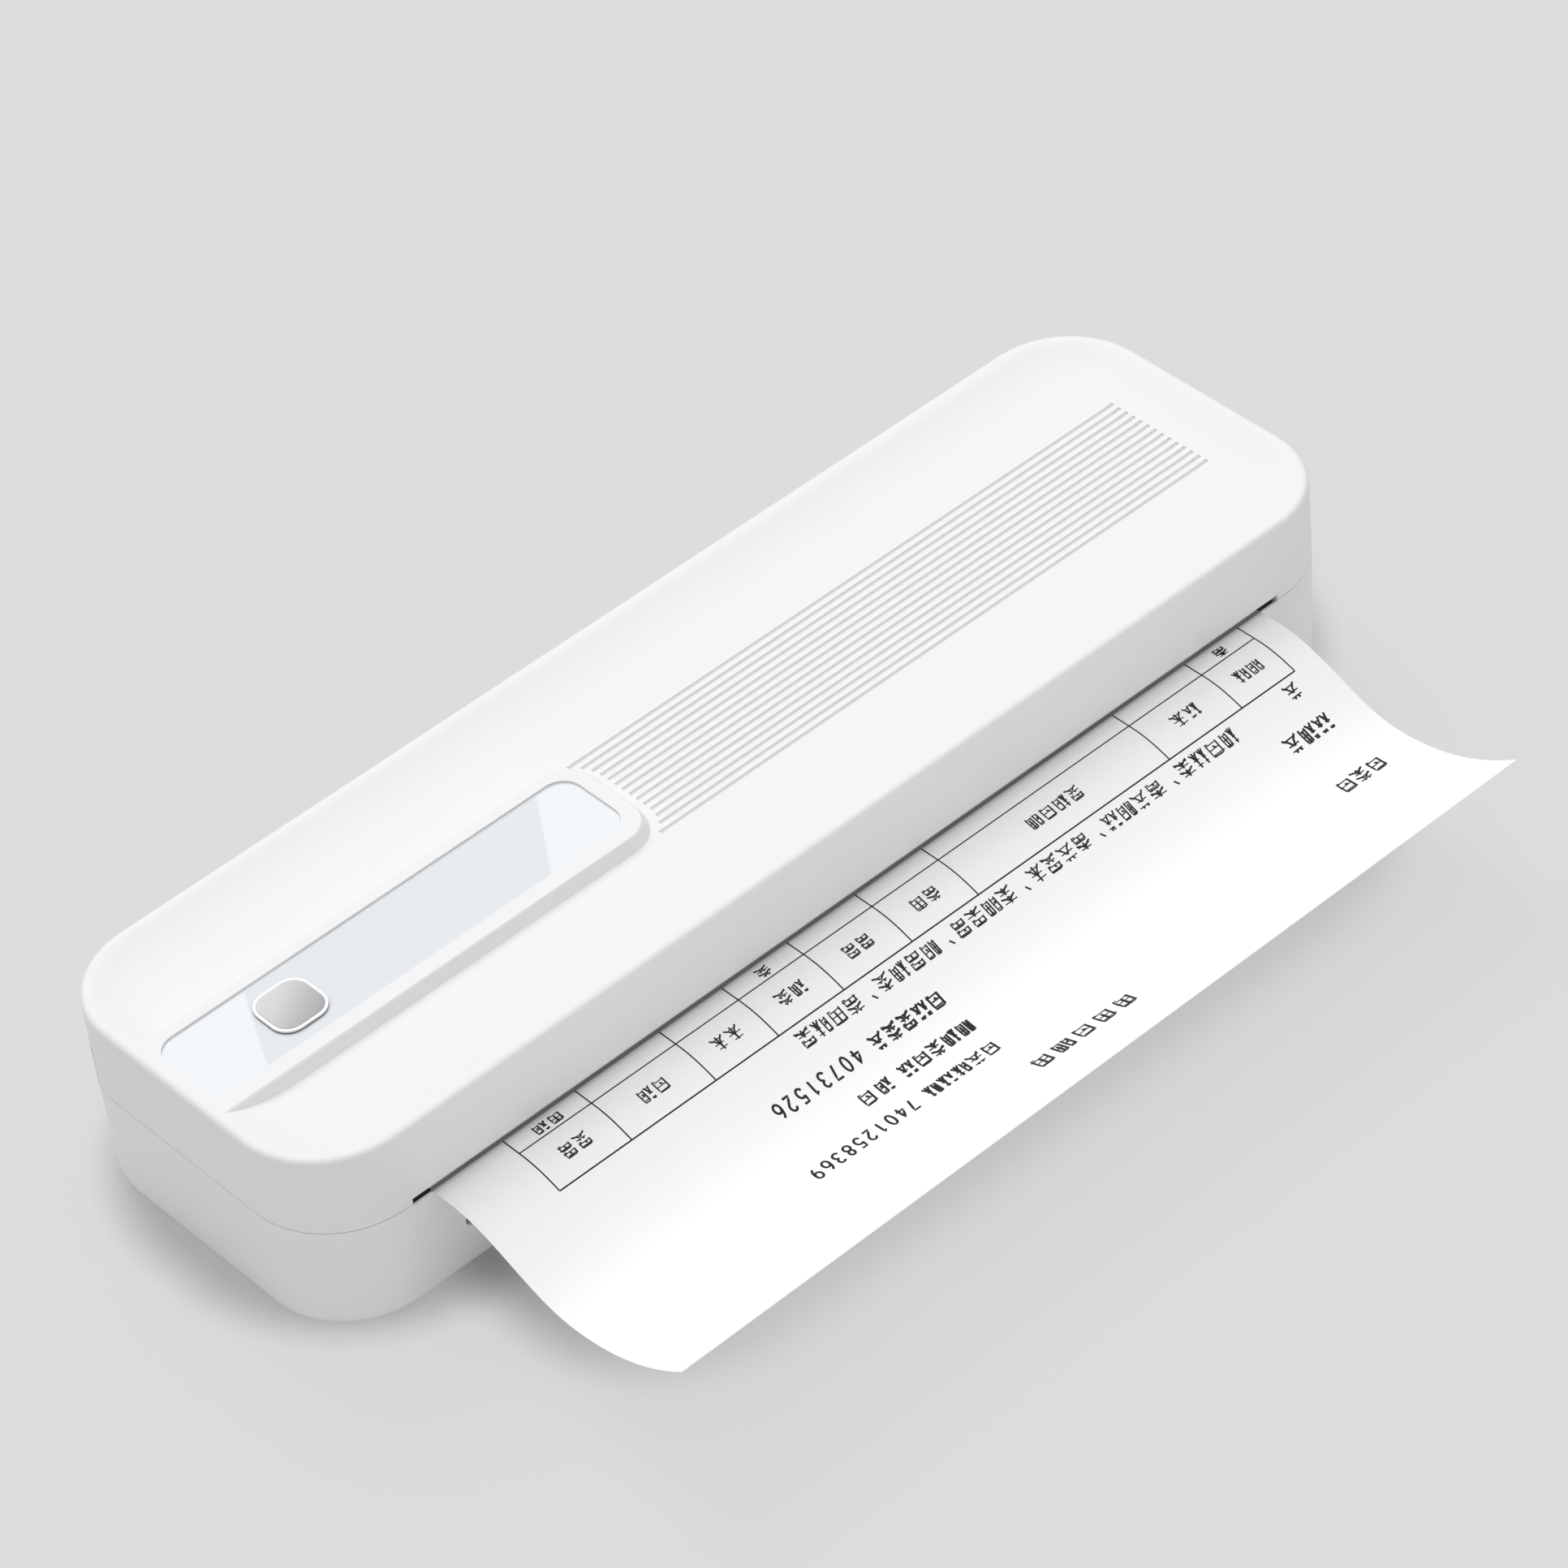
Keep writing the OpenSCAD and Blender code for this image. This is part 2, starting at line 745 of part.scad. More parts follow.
// Centre line of the sheet, from the top of the roll to its loose end
feed_l = sqrt((roll_y - platen_y) ^ 2 + (roll_z - platen_z) ^ 2);
feed_a = atan((roll_z - platen_z) / (roll_y - platen_y)) + asin((roll_r - platen_r) / feed_l);
sheet_r = paper_gap + paper_t / 2;
sheet_z = lip_z + paper_gap + paper_t / 2 + 0.05;
feed_y0 = platen_y - (platen_r + sheet_r) * sin(feed_a);
feed_z0 = platen_z + (platen_r + sheet_r) * cos(feed_a);
feed_y1 = roll_y - (roll_r + sheet_r) * sin(feed_a);
feed_z1 = roll_z + (roll_r + sheet_r) * cos(feed_a);
feed_yb = feed_y0 - (feed_z0 - sheet_z) / tan(feed_a);
front_y = -half_d;
bend_y = front_y - 5;
low_y = front_y - curl_y;
end_y = front_y - paper_reach;
sheet_line = concat(
    [[feed_y1, feed_z1], [feed_yb + 0.4, sheet_z + 0.4 * tan(feed_a)], [feed_yb - 0.4, sheet_z]],
    [for (i = [0 : 16])
        let (t = i / 16)
        [bend_y + (low_y - bend_y) * t, sheet_z - curl_drop * (1 - cos(180 * t)) / 2]],
    [for (i = [1 : 12])
        let (t = i / 12)
        [low_y + (end_y - low_y) * t, sheet_z - curl_drop + curl_rise * t * t]]
);

// Unit direction of the line at point i
function line_dir(p, i) =
    let (a = p[max(i - 1, 0)], b = p[min(i + 1, len(p) - 1)], d = b - a)
    d / norm(d);

function line_side(p, w) = [
    for (i = [0 : len(p) - 1])
        let (d = line_dir(p, i))
        [p[i][0] - w * d[1], p[i][1] + w * d[0]]
];

// Strip of thickness t along a line of points
module strip(p, t) {
    a = line_side(p, t / 2);
    b = line_side(p, -t / 2);
    polygon(concat(a, [for (i = [len(b) - 1 : -1 : 0]) b[i]]));
}

module paper_sheet() color("white")
    along_x(-paper_w / 2, paper_w / 2)
        strip(sheet_line, paper_t);

module paper_roll() color("white")
    difference() {
        rod_x(-paper_w / 2, paper_w / 2, roll_y, roll_z, roll_r);
        rod_x(-paper_w / 2 - 1, paper_w / 2 + 1, roll_y, roll_z, core_r + hold_fit);
    }

module roll_core() color("tan")
    difference() {
        rod_x(-paper_w / 2, paper_w / 2, roll_y, roll_z, core_r);
        rod_x(-paper_w / 2 - 1, paper_w / 2 + 1, roll_y, roll_z, core_r - core_wall);
    }

// ---- Platen and gears ----

module platen_rubber() color("dimgray")
    difference() {
        rod_x(-platen_l / 2, platen_l / 2, platen_y, platen_z, platen_r);
        rod_x(-platen_l / 2 - 1, platen_l / 2 + 1, platen_y, platen_z, shaft_r + hold_fit);
    }

module platen_shaft() color("silver") {
    rod_x(-platen_l / 2, platen_l / 2, platen_y, platen_z, shaft_r);
    rod_x(-plate_out - 0.6, gear_x2 + gear_w + 0.6, platen_y, platen_z, journal_r);
}

// Involute tooth: radius and half angle at roll angle t, on a base circle of radius rb
function inv_r(rb, t) = rb * sqrt(1 + (t * PI / 180) ^ 2);
function inv_a(t) = t - atan(t * PI / 180);

module gear_outline(teeth) {
    rp = gear_module * teeth / 2;
    rb = rp * cos(20);
    ra = rp + 0.95 * gear_module;
    rf = rp - 1.2 * gear_module;
    tip = sqrt((ra / rb) ^ 2 - 1) * 180 / PI;
    half = 90 / teeth + inv_a(tan(20) * 180 / PI) - gear_play / 2 / rp * 180 / PI;
    start = rf > rb ? sqrt((rf / rb) ^ 2 - 1) * 180 / PI : 0;
    flank = [for (i = [0 : 4]) let (t = start + (tip - start) * i / 4) [inv_r(rb, t), half - inv_a(t)]];
    side = rf > rb ? flank : concat([[rf, half]], flank);
    polygon([
        for (n = [0 : teeth - 1])
            let (c = 360 * n / teeth)
            each concat(
                [for (p = side) [p[0] * cos(c - p[1]), p[0] * sin(c - p[1])]],
                [for (i = [len(side) - 1 : -1 : 0])
                    [side[i][0] * cos(c + side[i][1]), side[i][0] * sin(c + side[i][1])]]
            )
    ]);
}

// Gear on an axis along X, with a tooth pointing along angle a
module gear_x(x, y, z, teeth, bore, a) {
    translate([x, y, z])
        rotate([90, 0, 90])
            linear_extrude(gear_w)
                difference() {
                    rotate(a)
                        gear_outline(teeth);
                    circle(bore);
                }
}

to_motor = atan2(motor_z - idler_z, bay_y - idler_y);
to_platen = atan2(platen_z - idler_z, platen_y - idler_y);

module platen_gear() color("ivory")
    gear_x(gear_x2, platen_y, platen_z, platen_teeth, journal_r + hold_fit,
           to_platen + 180 + 180 / platen_teeth);

module idler_gear() color("ivory") {
    gear_x(gear_x1, idler_y, idler_z, idler_large_teeth, idler_axle_r + run_fit, to_motor);
    gear_x(gear_x2, idler_y, idler_z, idler_small_teeth, idler_axle_r + run_fit, to_platen);
    translate([gear_x1 + gear_w - eps, idler_y, idler_z])
        rotate([90, 0, 90])
            linear_extrude(gear_gap + 2 * eps)
                ring(gear_module * idler_small_teeth / 2 - 0.7, idler_axle_r + run_fit);
}

module motor_pinion() color("goldenrod")
    gear_x(gear_x1, bay_y, motor_z, pinion_teeth, motor_shaft_r + hold_fit,
           to_motor + 180 + 180 / pinion_teeth);

module motor_shaft() color("silver")
    rod_x(plate_in - motor_l + 2, gear_x1 + gear_w, bay_y, motor_z, motor_shaft_r);

module idler_axle() color("silver") {
    rod_x(plate_in, gear_x2 + gear_w + 0.3, idler_y, idler_z, idler_axle_r);
    rod_x(gear_x2 + gear_w + 0.3 - eps, gear_x2 + gear_w + 0.9, idler_y, idler_z, idler_axle_r + 1);
}

module motor_can() color("silver")
    difference() {
        rod_x(plate_in - motor_l, plate_in - 2 * eps, bay_y, motor_z, motor_r);
        rod_x(plate_in - motor_l + 1.8, plate_in + 1, bay_y, motor_z, motor_shaft_r + run_fit);
        for (s = [-1, 1])
            rod_x(plate_in - 2.5, plate_in + 1, bay_y, motor_z + s * motor_screw_z, screw_r + hold_fit);
    }

module motor_screws() color("silver")
    for (s = [-1, 1]) {
        rod_x(plate_in - 2, plate_out + 0.3, bay_y, motor_z + s * motor_screw_z, screw_r);
        rod_x(plate_out, plate_out + 0.6, bay_y, motor_z + s * motor_screw_z, screw_head_r * 0.8);
    }

// Two cells end to end, each with a raised cap at one end
module battery_cells() color("steelblue")
    for (x = [-cell_l - 0.6, 0.6]) {
        rod_x(x, x + cell_l, bay_y, cell_z, cell_r);
        rod_x(x + cell_l - eps, x + cell_l + 0.9, bay_y, cell_z, 3);
    }

// ---- Circuit board ----

// Parts on the board: distance from its end, distance from its front, length, width, height
chips = [
    [60, 9.5, 9, 9, 1], [75, 9.5, 6, 5, 0.9], [24, 10, 4, 4, 0.9], [34, 9.5, 5, 5, 2],
    [110, 9.5, 6.5, 5, 1], [92, 13, 24, 4, 2.3], [132, 12.5, 8, 5, 2.2], [146, 12.5, 6, 5, 2.2],
    [46, 9, 3.2, 1.6, 0.6], [46, 12, 3.2, 1.6, 0.6], [122, 9, 3.2, 1.6, 0.6]
];

module main_board() color("green")
    difference() {
        translate([board_x0, board_front, board_low])
            cube([board_l, board_back - board_front, board_t]);
        for (x = pillar_x)
            translate([x, pillar_y, board_low - 1])
                cylinder(h = board_t + 2, r = screw_r + hold_fit);
    }

module board_chips() color("black")
    for (c = chips)
        translate([board_x0 + c[0] - c[2] / 2, board_front + c[1] - c[3] / 2, board_z])
            cube([c[2], c[3], c[4]]);

module board_screws() color("silver")
    for (x = pillar_x)
        translate([x, pillar_y, board_z + screw_head_h])
            mirror([0, 0, 1])
                screw(board_t + 3.6);

module socket_shape(l, h) {
    hull()
        for (s = [-1, 1])
            translate([s * (l - h) / 2, 0])
                circle(h / 2);
}

// Charging socket: a round-ended steel mouth with a flat tongue in it
module usb_socket() color("silver")
    translate([socket_inset - half_l, -half_d + 0.9, board_z + socket_h / 2])
        rotate([-90, 0, 0]) {
            linear_extrude(socket_d)
                difference() {
                    socket_shape(socket_w, socket_h);
                    socket_shape(socket_w - 0.6, socket_h - 0.6);
                }
            translate([0, 0, socket_d - 0.8])
                linear_extrude(0.8)
                    socket_shape(socket_w, socket_h);
            translate([-3.3, -0.35, 1.2])
                cube([6.6, 0.7, socket_d - 1.6]);
        }

// ---- Cover ----

module cover_outer() {
    loft(concat(
        [casing_ring(cover_bottom, 0)],
        [for (a = [0 : 22.5 : 90])
            casing_ring(body_h - top_edge_r * (1 - sin(a)), top_edge_r * (1 - cos(a)))]
    ));
}

module cover_hollow() {
    loft([
        casing_ring(cover_bottom - 1, wall),
        casing_ring(ceiling_z - 2, wall),
        casing_ring(ceiling_z, wall + 2)
    ]);
}

// The dish deepens along a quarter of a parabola from the rim to its flat floor
function dish_at(s) = dish_depth * (1 - (1 - s / dish_ramp) ^ 2);

module dish() {
    loft(concat(
        [for (i = [9 : -1 : 0])
            let (s = dish_ramp * i / 9)
            casing_ring(body_h - dish_at(s), rim_w + s)],
        [casing_ring(body_h + 1, rim_w)]
    ));
}

// Panel standing in the dish, level with the rim
function pad_ring(z, grow) =
    let (l = half_l + 20 - pad_end + grow)
    [z, l, pad_w + 2 * grow, pad_r + grow, l / 2 - half_l - 20];

module pad() {
    loft([
        pad_ring(dish_z - 1, pad_draft * 1.4),
        pad_ring(body_h - 0.7, pad_draft * 0.25),
        pad_ring(body_h - 0.2, pad_draft * 0.02),
        pad_ring(body_h + eps, -0.3)
    ], small_steps);
}

function groove_start(y) =
    let (r = pad_r + pad_draft + groove_margin,
         c = pad_w / 2 - pad_r,
         o = min(max(abs(y) - c, 0), r - 0.5))
    -pad_end - pad_r + sqrt(r * r - o * o);

module grooves() {
    r = (groove_w * groove_w / 4 + groove_h * groove_h) / (2 * groove_h);
    for (i = [0 : groove_n - 1]) {
        y = groove_pitch * (i - (groove_n - 1) / 2);
        rod_x(groove_start(y), half_l - groove_inset, y, dish_z - groove_h + r, r, $fn = 24);
    }
}

module switch_posts() {
    for (s = [-1, 1])
        translate([button_x + s * board_ear, button_y, 0]) {
            translate([0, 0, switch_board_z])
                cylinder(h = ceiling_z - switch_board_z + 0.5, r = switch_post_r);
            translate([0, 0, switch_board_z - switch_board_t - 0.4])
                cylinder(h = switch_board_t + 1, r = 0.95);
        }
}

module cover_shell() color("white") {
    difference() {
        union() {
            difference() {
                cover_outer();
                difference() {
                    dish();
                    pad();
                }
                cover_hollow();
            }
            for (x = cover_screw_x)
                translate([x, cover_screw_y, beam_top])
                    cylinder(h = ceiling_z - beam_top + 0.5, r = 3);
            switch_posts();
        }
        grooves();
        // Notch round the base's ears and spine
        translate([-half_l - 1, hinge_y - ear_reach - hinge_gap, cover_bottom - 2])
            cube([body_l + 2, body_d, hinge_z + hinge_r + hinge_gap - cover_bottom + 2]);
        // Upper lip of the paper slot
        translate([-slot_l / 2, -half_d - 1, cover_bottom - 1])
            cube([slot_l, wall + 2, slot_h + parting_z - cover_bottom + 1]);
        // Recess of the insert, and the button's well under it
        translate([insert_x, insert_shift, pocket_z])
            linear_extrude(5)
                round_rect(insert_l + 2 * hold_fit, insert_w + 2 * hold_fit, insert_r + hold_fit);
        translate([button_x, button_y, ceiling_z - 5])
            linear_extrude(10)
                round_rect(button_w + 2 * run_fit + 0.1, button_w + 2 * run_fit + 0.1, button_r + run_fit);
        for (x = cover_screw_x)
            translate([x, cover_screw_y, beam_top - 1])
                cylinder(h = ceiling_z - beam_top + 2, r = screw_r + hold_fit);
    }
}

module panel_insert() color("gainsboro")
    difference() {
        translate([insert_x, insert_shift, pocket_z])
            linear_extrude(insert_t)
                round_rect(insert_l, insert_w, insert_r);
        translate([button_x, button_y, pocket_z - 1])
            linear_extrude(5)
                round_rect(bezel_w + 2 * hold_fit, bezel_w + 2 * hold_fit, bezel_r + hold_fit);
    }

module button_bezel() color("silver")
    translate([button_x, button_y, pocket_z])
        linear_extrude(insert_t + bezel_h)
            difference() {
                round_rect(bezel_w, bezel_w, bezel_r);
                round_rect(bezel_w - 2 * bezel_rim, bezel_w - 2 * bezel_rim, bezel_r - bezel_rim);
            }

module power_button() color("lightgray")
    translate([button_x, button_y, 0]) {
        translate([0, 0, flange_top - eps])
            linear_extrude(insert_z + button_h - flange_top)
                round_rect(button_w, button_w, button_r);
        translate([0, 0, flange_top - flange_t])
            linear_extrude(flange_t)
                round_rect(flange_w, flange_w, button_r + 1);
    }

module switch_plunger() color("black")
    translate([button_x, button_y, switch_top - 0.3])
        cylinder(h = plunger_h + 0.3, r = plunger_r);

module power_switch() color("silver")
    translate([button_x, button_y, switch_board_z])
        difference() {
            translate([-switch_w / 2, -switch_w / 2, 0])
                cube([switch_w, switch_w, switch_h]);
            translate([0, 0, switch_h - 0.3 - button_travel - 0.1])
                cylinder(h = 5, r = plunger_r + run_fit);
        }

module switch_board() color("green")
    translate([button_x, button_y, switch_board_z - switch_board_t])
        difference() {
            translate([-board_ear - 3, -switch_board_w / 2, 0])
                cube([2 * board_ear + 6, switch_board_w, switch_board_t]);
            for (s = [-1, 1])
                translate([s * board_ear, 0, -1])
                    cylinder(h = 5, r = 0.95 + hold_fit);
        }

// Neck of a knuckle, from the eye on the hinge axis up to the frame's arm
module neck_outline() {
    difference() {
        polygon([
            [hinge_y - hinge_r, hinge_z], [hinge_y - 0.5, hinge_z + 3.9],
            [hinge_y - 0.5, beam_top], [hinge_y - 9, beam_top], [hinge_y - 9, beam_low]
        ]);
        translate([hinge_y, hinge_z])
            circle(hinge_pin_r + run_fit);
    }
}

// Column with the casing's outline, inset by i
module inside_outline(i) {
    linear_extrude(body_h)
        round_rect(body_l - 2 * i, body_d - 2 * i, corner_r - i, corner_steps);
}

module at_head() {
    translate([0, platen_y, platen_z])
        rotate([head_tilt, 0, 0])
            children();
}

pivot_at = [
    platen_y + pivot_y * cos(head_tilt) - pivot_z * sin(head_tilt),
    platen_z + pivot_y * sin(head_tilt) + pivot_z * cos(head_tilt)
];

module cover_frame() color("gray")
    difference() {
        union() {
            translate([-arm_out, beam_front, beam_low])
                cube([2 * arm_out, beam_back - beam_front, beam_t]);
            for (y = [beam_front, beam_back - 1.4])
                translate([-arm_in, y, beam_low - beam_rib])
                    cube([2 * arm_in, 1.4, beam_rib + 0.5]);
            both_ends() {
                translate([arm_in, beam_back - 1, beam_low])
                    cube([arm_out - arm_in, hinge_y - 8 - beam_back + 1, beam_t]);
                intersection() {
                    along_x(knuckle_x, knuckle_out)
                        translate([hinge_y, hinge_z])
                            ring(hinge_r, hinge_pin_r + run_fit);
                    inside_outline(0.15);
                }
                intersection() {
                    along_x(knuckle_x, knuckle_out)
                        neck_outline();
                    inside_outline(wall + 0.9);
                }
                along_x(lug_x, lug_x + lug_t)
                    hull() {
                        translate(pivot_at)
                            circle(3);
                        translate([pivot_at[0] - 5, beam_low + 0.5])
                            square([10, 0.6]);
                    }
            }
        }
        both_ends()
            rod_x(bracket_ear_x, lug_x + lug_t + 1, pivot_at[0], pivot_at[1], pivot_r + hold_fit);
        for (x = cover_screw_x)
            translate([x, cover_screw_y, beam_low - 1])
                cylinder(h = 5, r = screw_r + hold_fit);
        // Room for the posts that carry the button's board
        for (s = [-1, 1])
            translate([button_x + s * board_ear, button_y, beam_low - 1])
                cylinder(h = 5, r = switch_post_r + side_gap);
    }

module cover_screws() color("silver")
    for (x = cover_screw_x)
        translate([x, cover_screw_y, beam_low - screw_head_h])
            screw(beam_t + ceiling_z - beam_top + 0.8);

// Spring clips that snap over the bushes from above when the cover shuts
module cover_latches() color("silver")
    both_ends() {
        along_x(plate_out + 0.15, plate_out + 0.6) {
            difference() {
                translate([platen_y, platen_z])
                    ring(bush_r + 1.1, bush_r + 0.06);
                translate([platen_y, platen_z])
                    polygon([[0, 0], [-9, -7], [-9, -20], [9, -20], [9, -7]]);
            }
            translate([platen_y - 1.6, platen_z + bush_r + 0.5])
                square([3.2, beam_low - platen_z - bush_r - 0.5]);
        }
        translate([plate_out + 0.15, platen_y - 4, beam_low - 0.5])
            cube([3, 8, 0.48]);
    }

module pivot_pins() color("silver")
    both_ends()
        rod_x(bracket_ear_x - 0.1, lug_x + lug_t, pivot_at[0], pivot_at[1], pivot_r);

spring_low = platen_z + bracket_top + 1.17;
spring_line = [
    [platen_y + 15, beam_low - spring_t / 2 - 0.05], [platen_y + 9.5, beam_low - spring_t / 2 - 0.05],
    [platen_y + 7, beam_low - 1], [platen_y + 3.5, beam_low - 3.6],
    [platen_y + 2.2, spring_low], [platen_y + 0.6, spring_low + 0.1], [platen_y - 0.8, spring_low + 0.95]
];

// Leaf springs between the frame's beam and the head's bracket
module head_springs() color("silver")
    for (i = [0 : spring_n - 1]) {
        x = head_l * 0.72 * (spring_n > 1 ? i / (spring_n - 1) - 0.5 : 0);
        along_x(x - spring_w / 2, x + spring_w / 2)
            strip(spring_line, spring_t);
    }

module head_ceramic() color("lightgray")
    at_head()
        translate([-head_l / 2, -ceramic_front, nip_r])
            cube([head_l, ceramic_front + ceramic_back, ceramic_t]);

module heat_sink() color("silver")
    at_head()
        difference() {
            translate([-head_l / 2, -sink_front, sink_z])
                cube([head_l, sink_front + sink_back, sink_t]);
            for (i = [0 : 2])
                translate([-head_l / 2 - 1, 3 + i * 4.5, sink_z + sink_t - 0.8])
                    cube([head_l + 2, 2, 2]);
        }

// Steel channel over the heat sink, its ends bent down into pivot ears
module head_bracket() color("silver")
    at_head() {
        translate([-bracket_ear_x - bracket_t, 1, bracket_z])
            cube([2 * (bracket_ear_x + bracket_t), bracket_back - 1, bracket_t]);
        both_ends()
            along_x(bracket_ear_x, bracket_ear_x + bracket_t)
                difference() {
                    translate([pivot_y - 4, sink_z - 1.2])
                        square([bracket_back - pivot_y + 4, sink_t + 1.2 + eps]);
                    translate([pivot_y, pivot_z])
                        circle(pivot_r + run_fit);
                }
    }

base_shell();
rubber_feet();
base_screws();
inner_frame();
hinge_pins();
platen_bushes();
paper_sensor();
battery_cells();
main_board();
board_chips();
board_screws();
usb_socket();
motor_can();
motor_screws();
idler_axle();
paper_sheet();
platen_rubber();
platen_shaft();
platen_gear();
idler_gear();
motor_shaft();
motor_pinion();
paper_roll();
roll_core();
cover_shell();
cover_frame();
cover_screws();
panel_insert();
button_bezel();
switch_board();
power_switch();
cover_latches();
pivot_pins();
head_springs();
head_bracket();
heat_sink();
head_ceramic();
power_button();
switch_plunger();
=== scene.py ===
import math
import bpy
import numpy as np
from mathutils import Matrix, Vector


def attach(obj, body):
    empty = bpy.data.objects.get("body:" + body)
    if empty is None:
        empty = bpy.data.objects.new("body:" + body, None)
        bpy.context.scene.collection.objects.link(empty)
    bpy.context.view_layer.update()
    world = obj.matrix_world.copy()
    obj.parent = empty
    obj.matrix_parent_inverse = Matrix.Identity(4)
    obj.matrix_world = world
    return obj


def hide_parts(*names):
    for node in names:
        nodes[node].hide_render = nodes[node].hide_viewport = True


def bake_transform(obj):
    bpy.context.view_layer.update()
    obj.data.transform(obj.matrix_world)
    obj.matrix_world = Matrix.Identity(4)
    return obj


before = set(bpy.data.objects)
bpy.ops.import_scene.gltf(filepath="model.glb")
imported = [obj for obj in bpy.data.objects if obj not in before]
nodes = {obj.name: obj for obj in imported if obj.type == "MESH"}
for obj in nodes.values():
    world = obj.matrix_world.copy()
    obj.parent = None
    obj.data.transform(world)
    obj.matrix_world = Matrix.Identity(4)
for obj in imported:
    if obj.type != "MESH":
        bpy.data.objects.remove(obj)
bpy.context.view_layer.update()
# the added pieces are sized in millimetres; materials, bends, floor and lights in metres
mm = 0.001


def newMat(name):
    mat = bpy.data.materials.new(name)
    mat.use_nodes = True
    nt = mat.node_tree
    return mat, nt, nt.nodes["Principled BSDF"]


def link(nt, a, b):
    nt.links.new(a, b)


def objCoords(nt, scale=(1, 1, 1)):
    tc = nt.nodes.new("ShaderNodeTexCoord")
    mp = nt.nodes.new("ShaderNodeMapping")
    mp.inputs["Scale"].default_value = scale
    link(nt, tc.outputs["Object"], mp.inputs["Vector"])
    return mp.outputs["Vector"]


def axisOf(nt, vec, axis):
    sep = nt.nodes.new("ShaderNodeSeparateXYZ")
    link(nt, vec, sep.inputs["Vector"])
    return sep.outputs[axis]


def noise(nt, vec, scale, detail, rough=0.5):
    n = nt.nodes.new("ShaderNodeTexNoise")
    n.inputs["Scale"].default_value = scale
    n.inputs["Detail"].default_value = detail
    n.inputs["Roughness"].default_value = rough
    link(nt, vec, n.inputs["Vector"])
    return n.outputs["Fac"]


def mathNode(nt, operation, *values):
    m = nt.nodes.new("ShaderNodeMath")
    m.operation = operation
    for socket, value in zip(m.inputs, values):
        if isinstance(value, (int, float)):
            socket.default_value = value
        else:
            link(nt, value, socket)
    return m.outputs["Value"]


def remap(nt, value, lo, hi, toLo=0.0, toHi=1.0, kind="LINEAR"):
    m = nt.nodes.new("ShaderNodeMapRange")
    m.interpolation_type = kind
    for name, v in (("From Min", lo), ("From Max", hi), ("To Min", toLo), ("To Max", toHi)):
        m.inputs[name].default_value = v
    link(nt, value, m.inputs["Value"])
    return m.outputs["Result"]


def mixCol(nt, fac, a, b):
    m = nt.nodes.new("ShaderNodeMix")
    m.data_type = "RGBA"
    m.inputs["A"].default_value = (*a, 1)
    m.inputs["B"].default_value = (*b, 1)
    link(nt, fac, m.inputs["Factor"])
    return m.outputs["Result"]


def multiplyBase(nt, bsdf, factor):
    # whatever feeds the base colour so far, times the factor
    m = nt.nodes.new("ShaderNodeMix")
    m.data_type = "RGBA"
    m.blend_type = "MULTIPLY"
    m.inputs["Factor"].default_value = 1.0
    link(nt, bsdf.inputs["Base Color"].links[0].from_socket, m.inputs["A"])
    link(nt, factor, m.inputs["B"])
    link(nt, m.outputs["Result"], bsdf.inputs["Base Color"])


def bumpOn(nt, bsdf, height, strength, depth):
    b = nt.nodes.new("ShaderNodeBump")
    b.inputs["Strength"].default_value = strength
    b.inputs["Distance"].default_value = depth
    link(nt, height, b.inputs["Height"])
    link(nt, b.outputs["Normal"], bsdf.inputs["Normal"])


def boxGap(nt, vec, centre, half, radius):
    # how far a point lies outside a rounded rectangle, seen from above:
    # |max(|p - centre| - (half - radius), 0)| - radius
    steps = (("SUBTRACT", (*centre, 0)), ("ABSOLUTE", None),
             ("SUBTRACT", (half[0] - radius, half[1] - radius, 1)),
             ("MAXIMUM", (0, 0, 0)), ("LENGTH", None))
    for operation, other in steps:
        m = nt.nodes.new("ShaderNodeVectorMath")
        m.operation = operation
        link(nt, vec, m.inputs[0])
        if other:
            m.inputs[1].default_value = other
        vec = m.outputs["Value" if operation == "LENGTH" else "Vector"]
    return mathNode(nt, "SUBTRACT", vec, radius)


grainStyle = dict(broadShare=0.03, broadDetail=2.0, fineDetail=4.0, fineRough=0.6, depth=0.00004)


def surfaceMat(name, colour, rough, metal=0.0, grain=2500.0, bump=0.08, vary=0.03,
               stretch=(1, 1, 1), roughVary=0.05, coat=0.0, coatRough=0.08, coatIor=1.5, spec=0.5):
    # the base colour drifts over a broad noise, a fine one moves the roughness and the
    # moulded or brushed grain
    g = grainStyle
    mat, nt, bsdf = newMat(name)
    vec = objCoords(nt, stretch)
    broad = noise(nt, vec, grain * g["broadShare"], g["broadDetail"])
    fine = noise(nt, vec, grain, g["fineDetail"], g["fineRough"])
    dark = tuple(c * (1 - vary) for c in colour)
    link(nt, mixCol(nt, broad, dark, colour), bsdf.inputs["Base Color"])
    gloss = remap(nt, fine, 0.0, 1.0, rough - roughVary, rough + roughVary)
    link(nt, gloss, bsdf.inputs["Roughness"])
    bsdf.inputs["Metallic"].default_value = metal
    bsdf.inputs["Coat Weight"].default_value = coat
    bsdf.inputs["Coat Roughness"].default_value = coatRough
    bsdf.inputs["Coat IOR"].default_value = coatIor
    bsdf.inputs["Specular IOR Level"].default_value = spec
    bumpOn(nt, bsdf, fine, bump, g["depth"])
    return mat


def setMat(ob, mat):
    ob.data.materials.clear()
    ob.data.materials.append(mat)


smoothing = dict(weld=2e-6, nodeAngle=32.0, faceWeight=60)


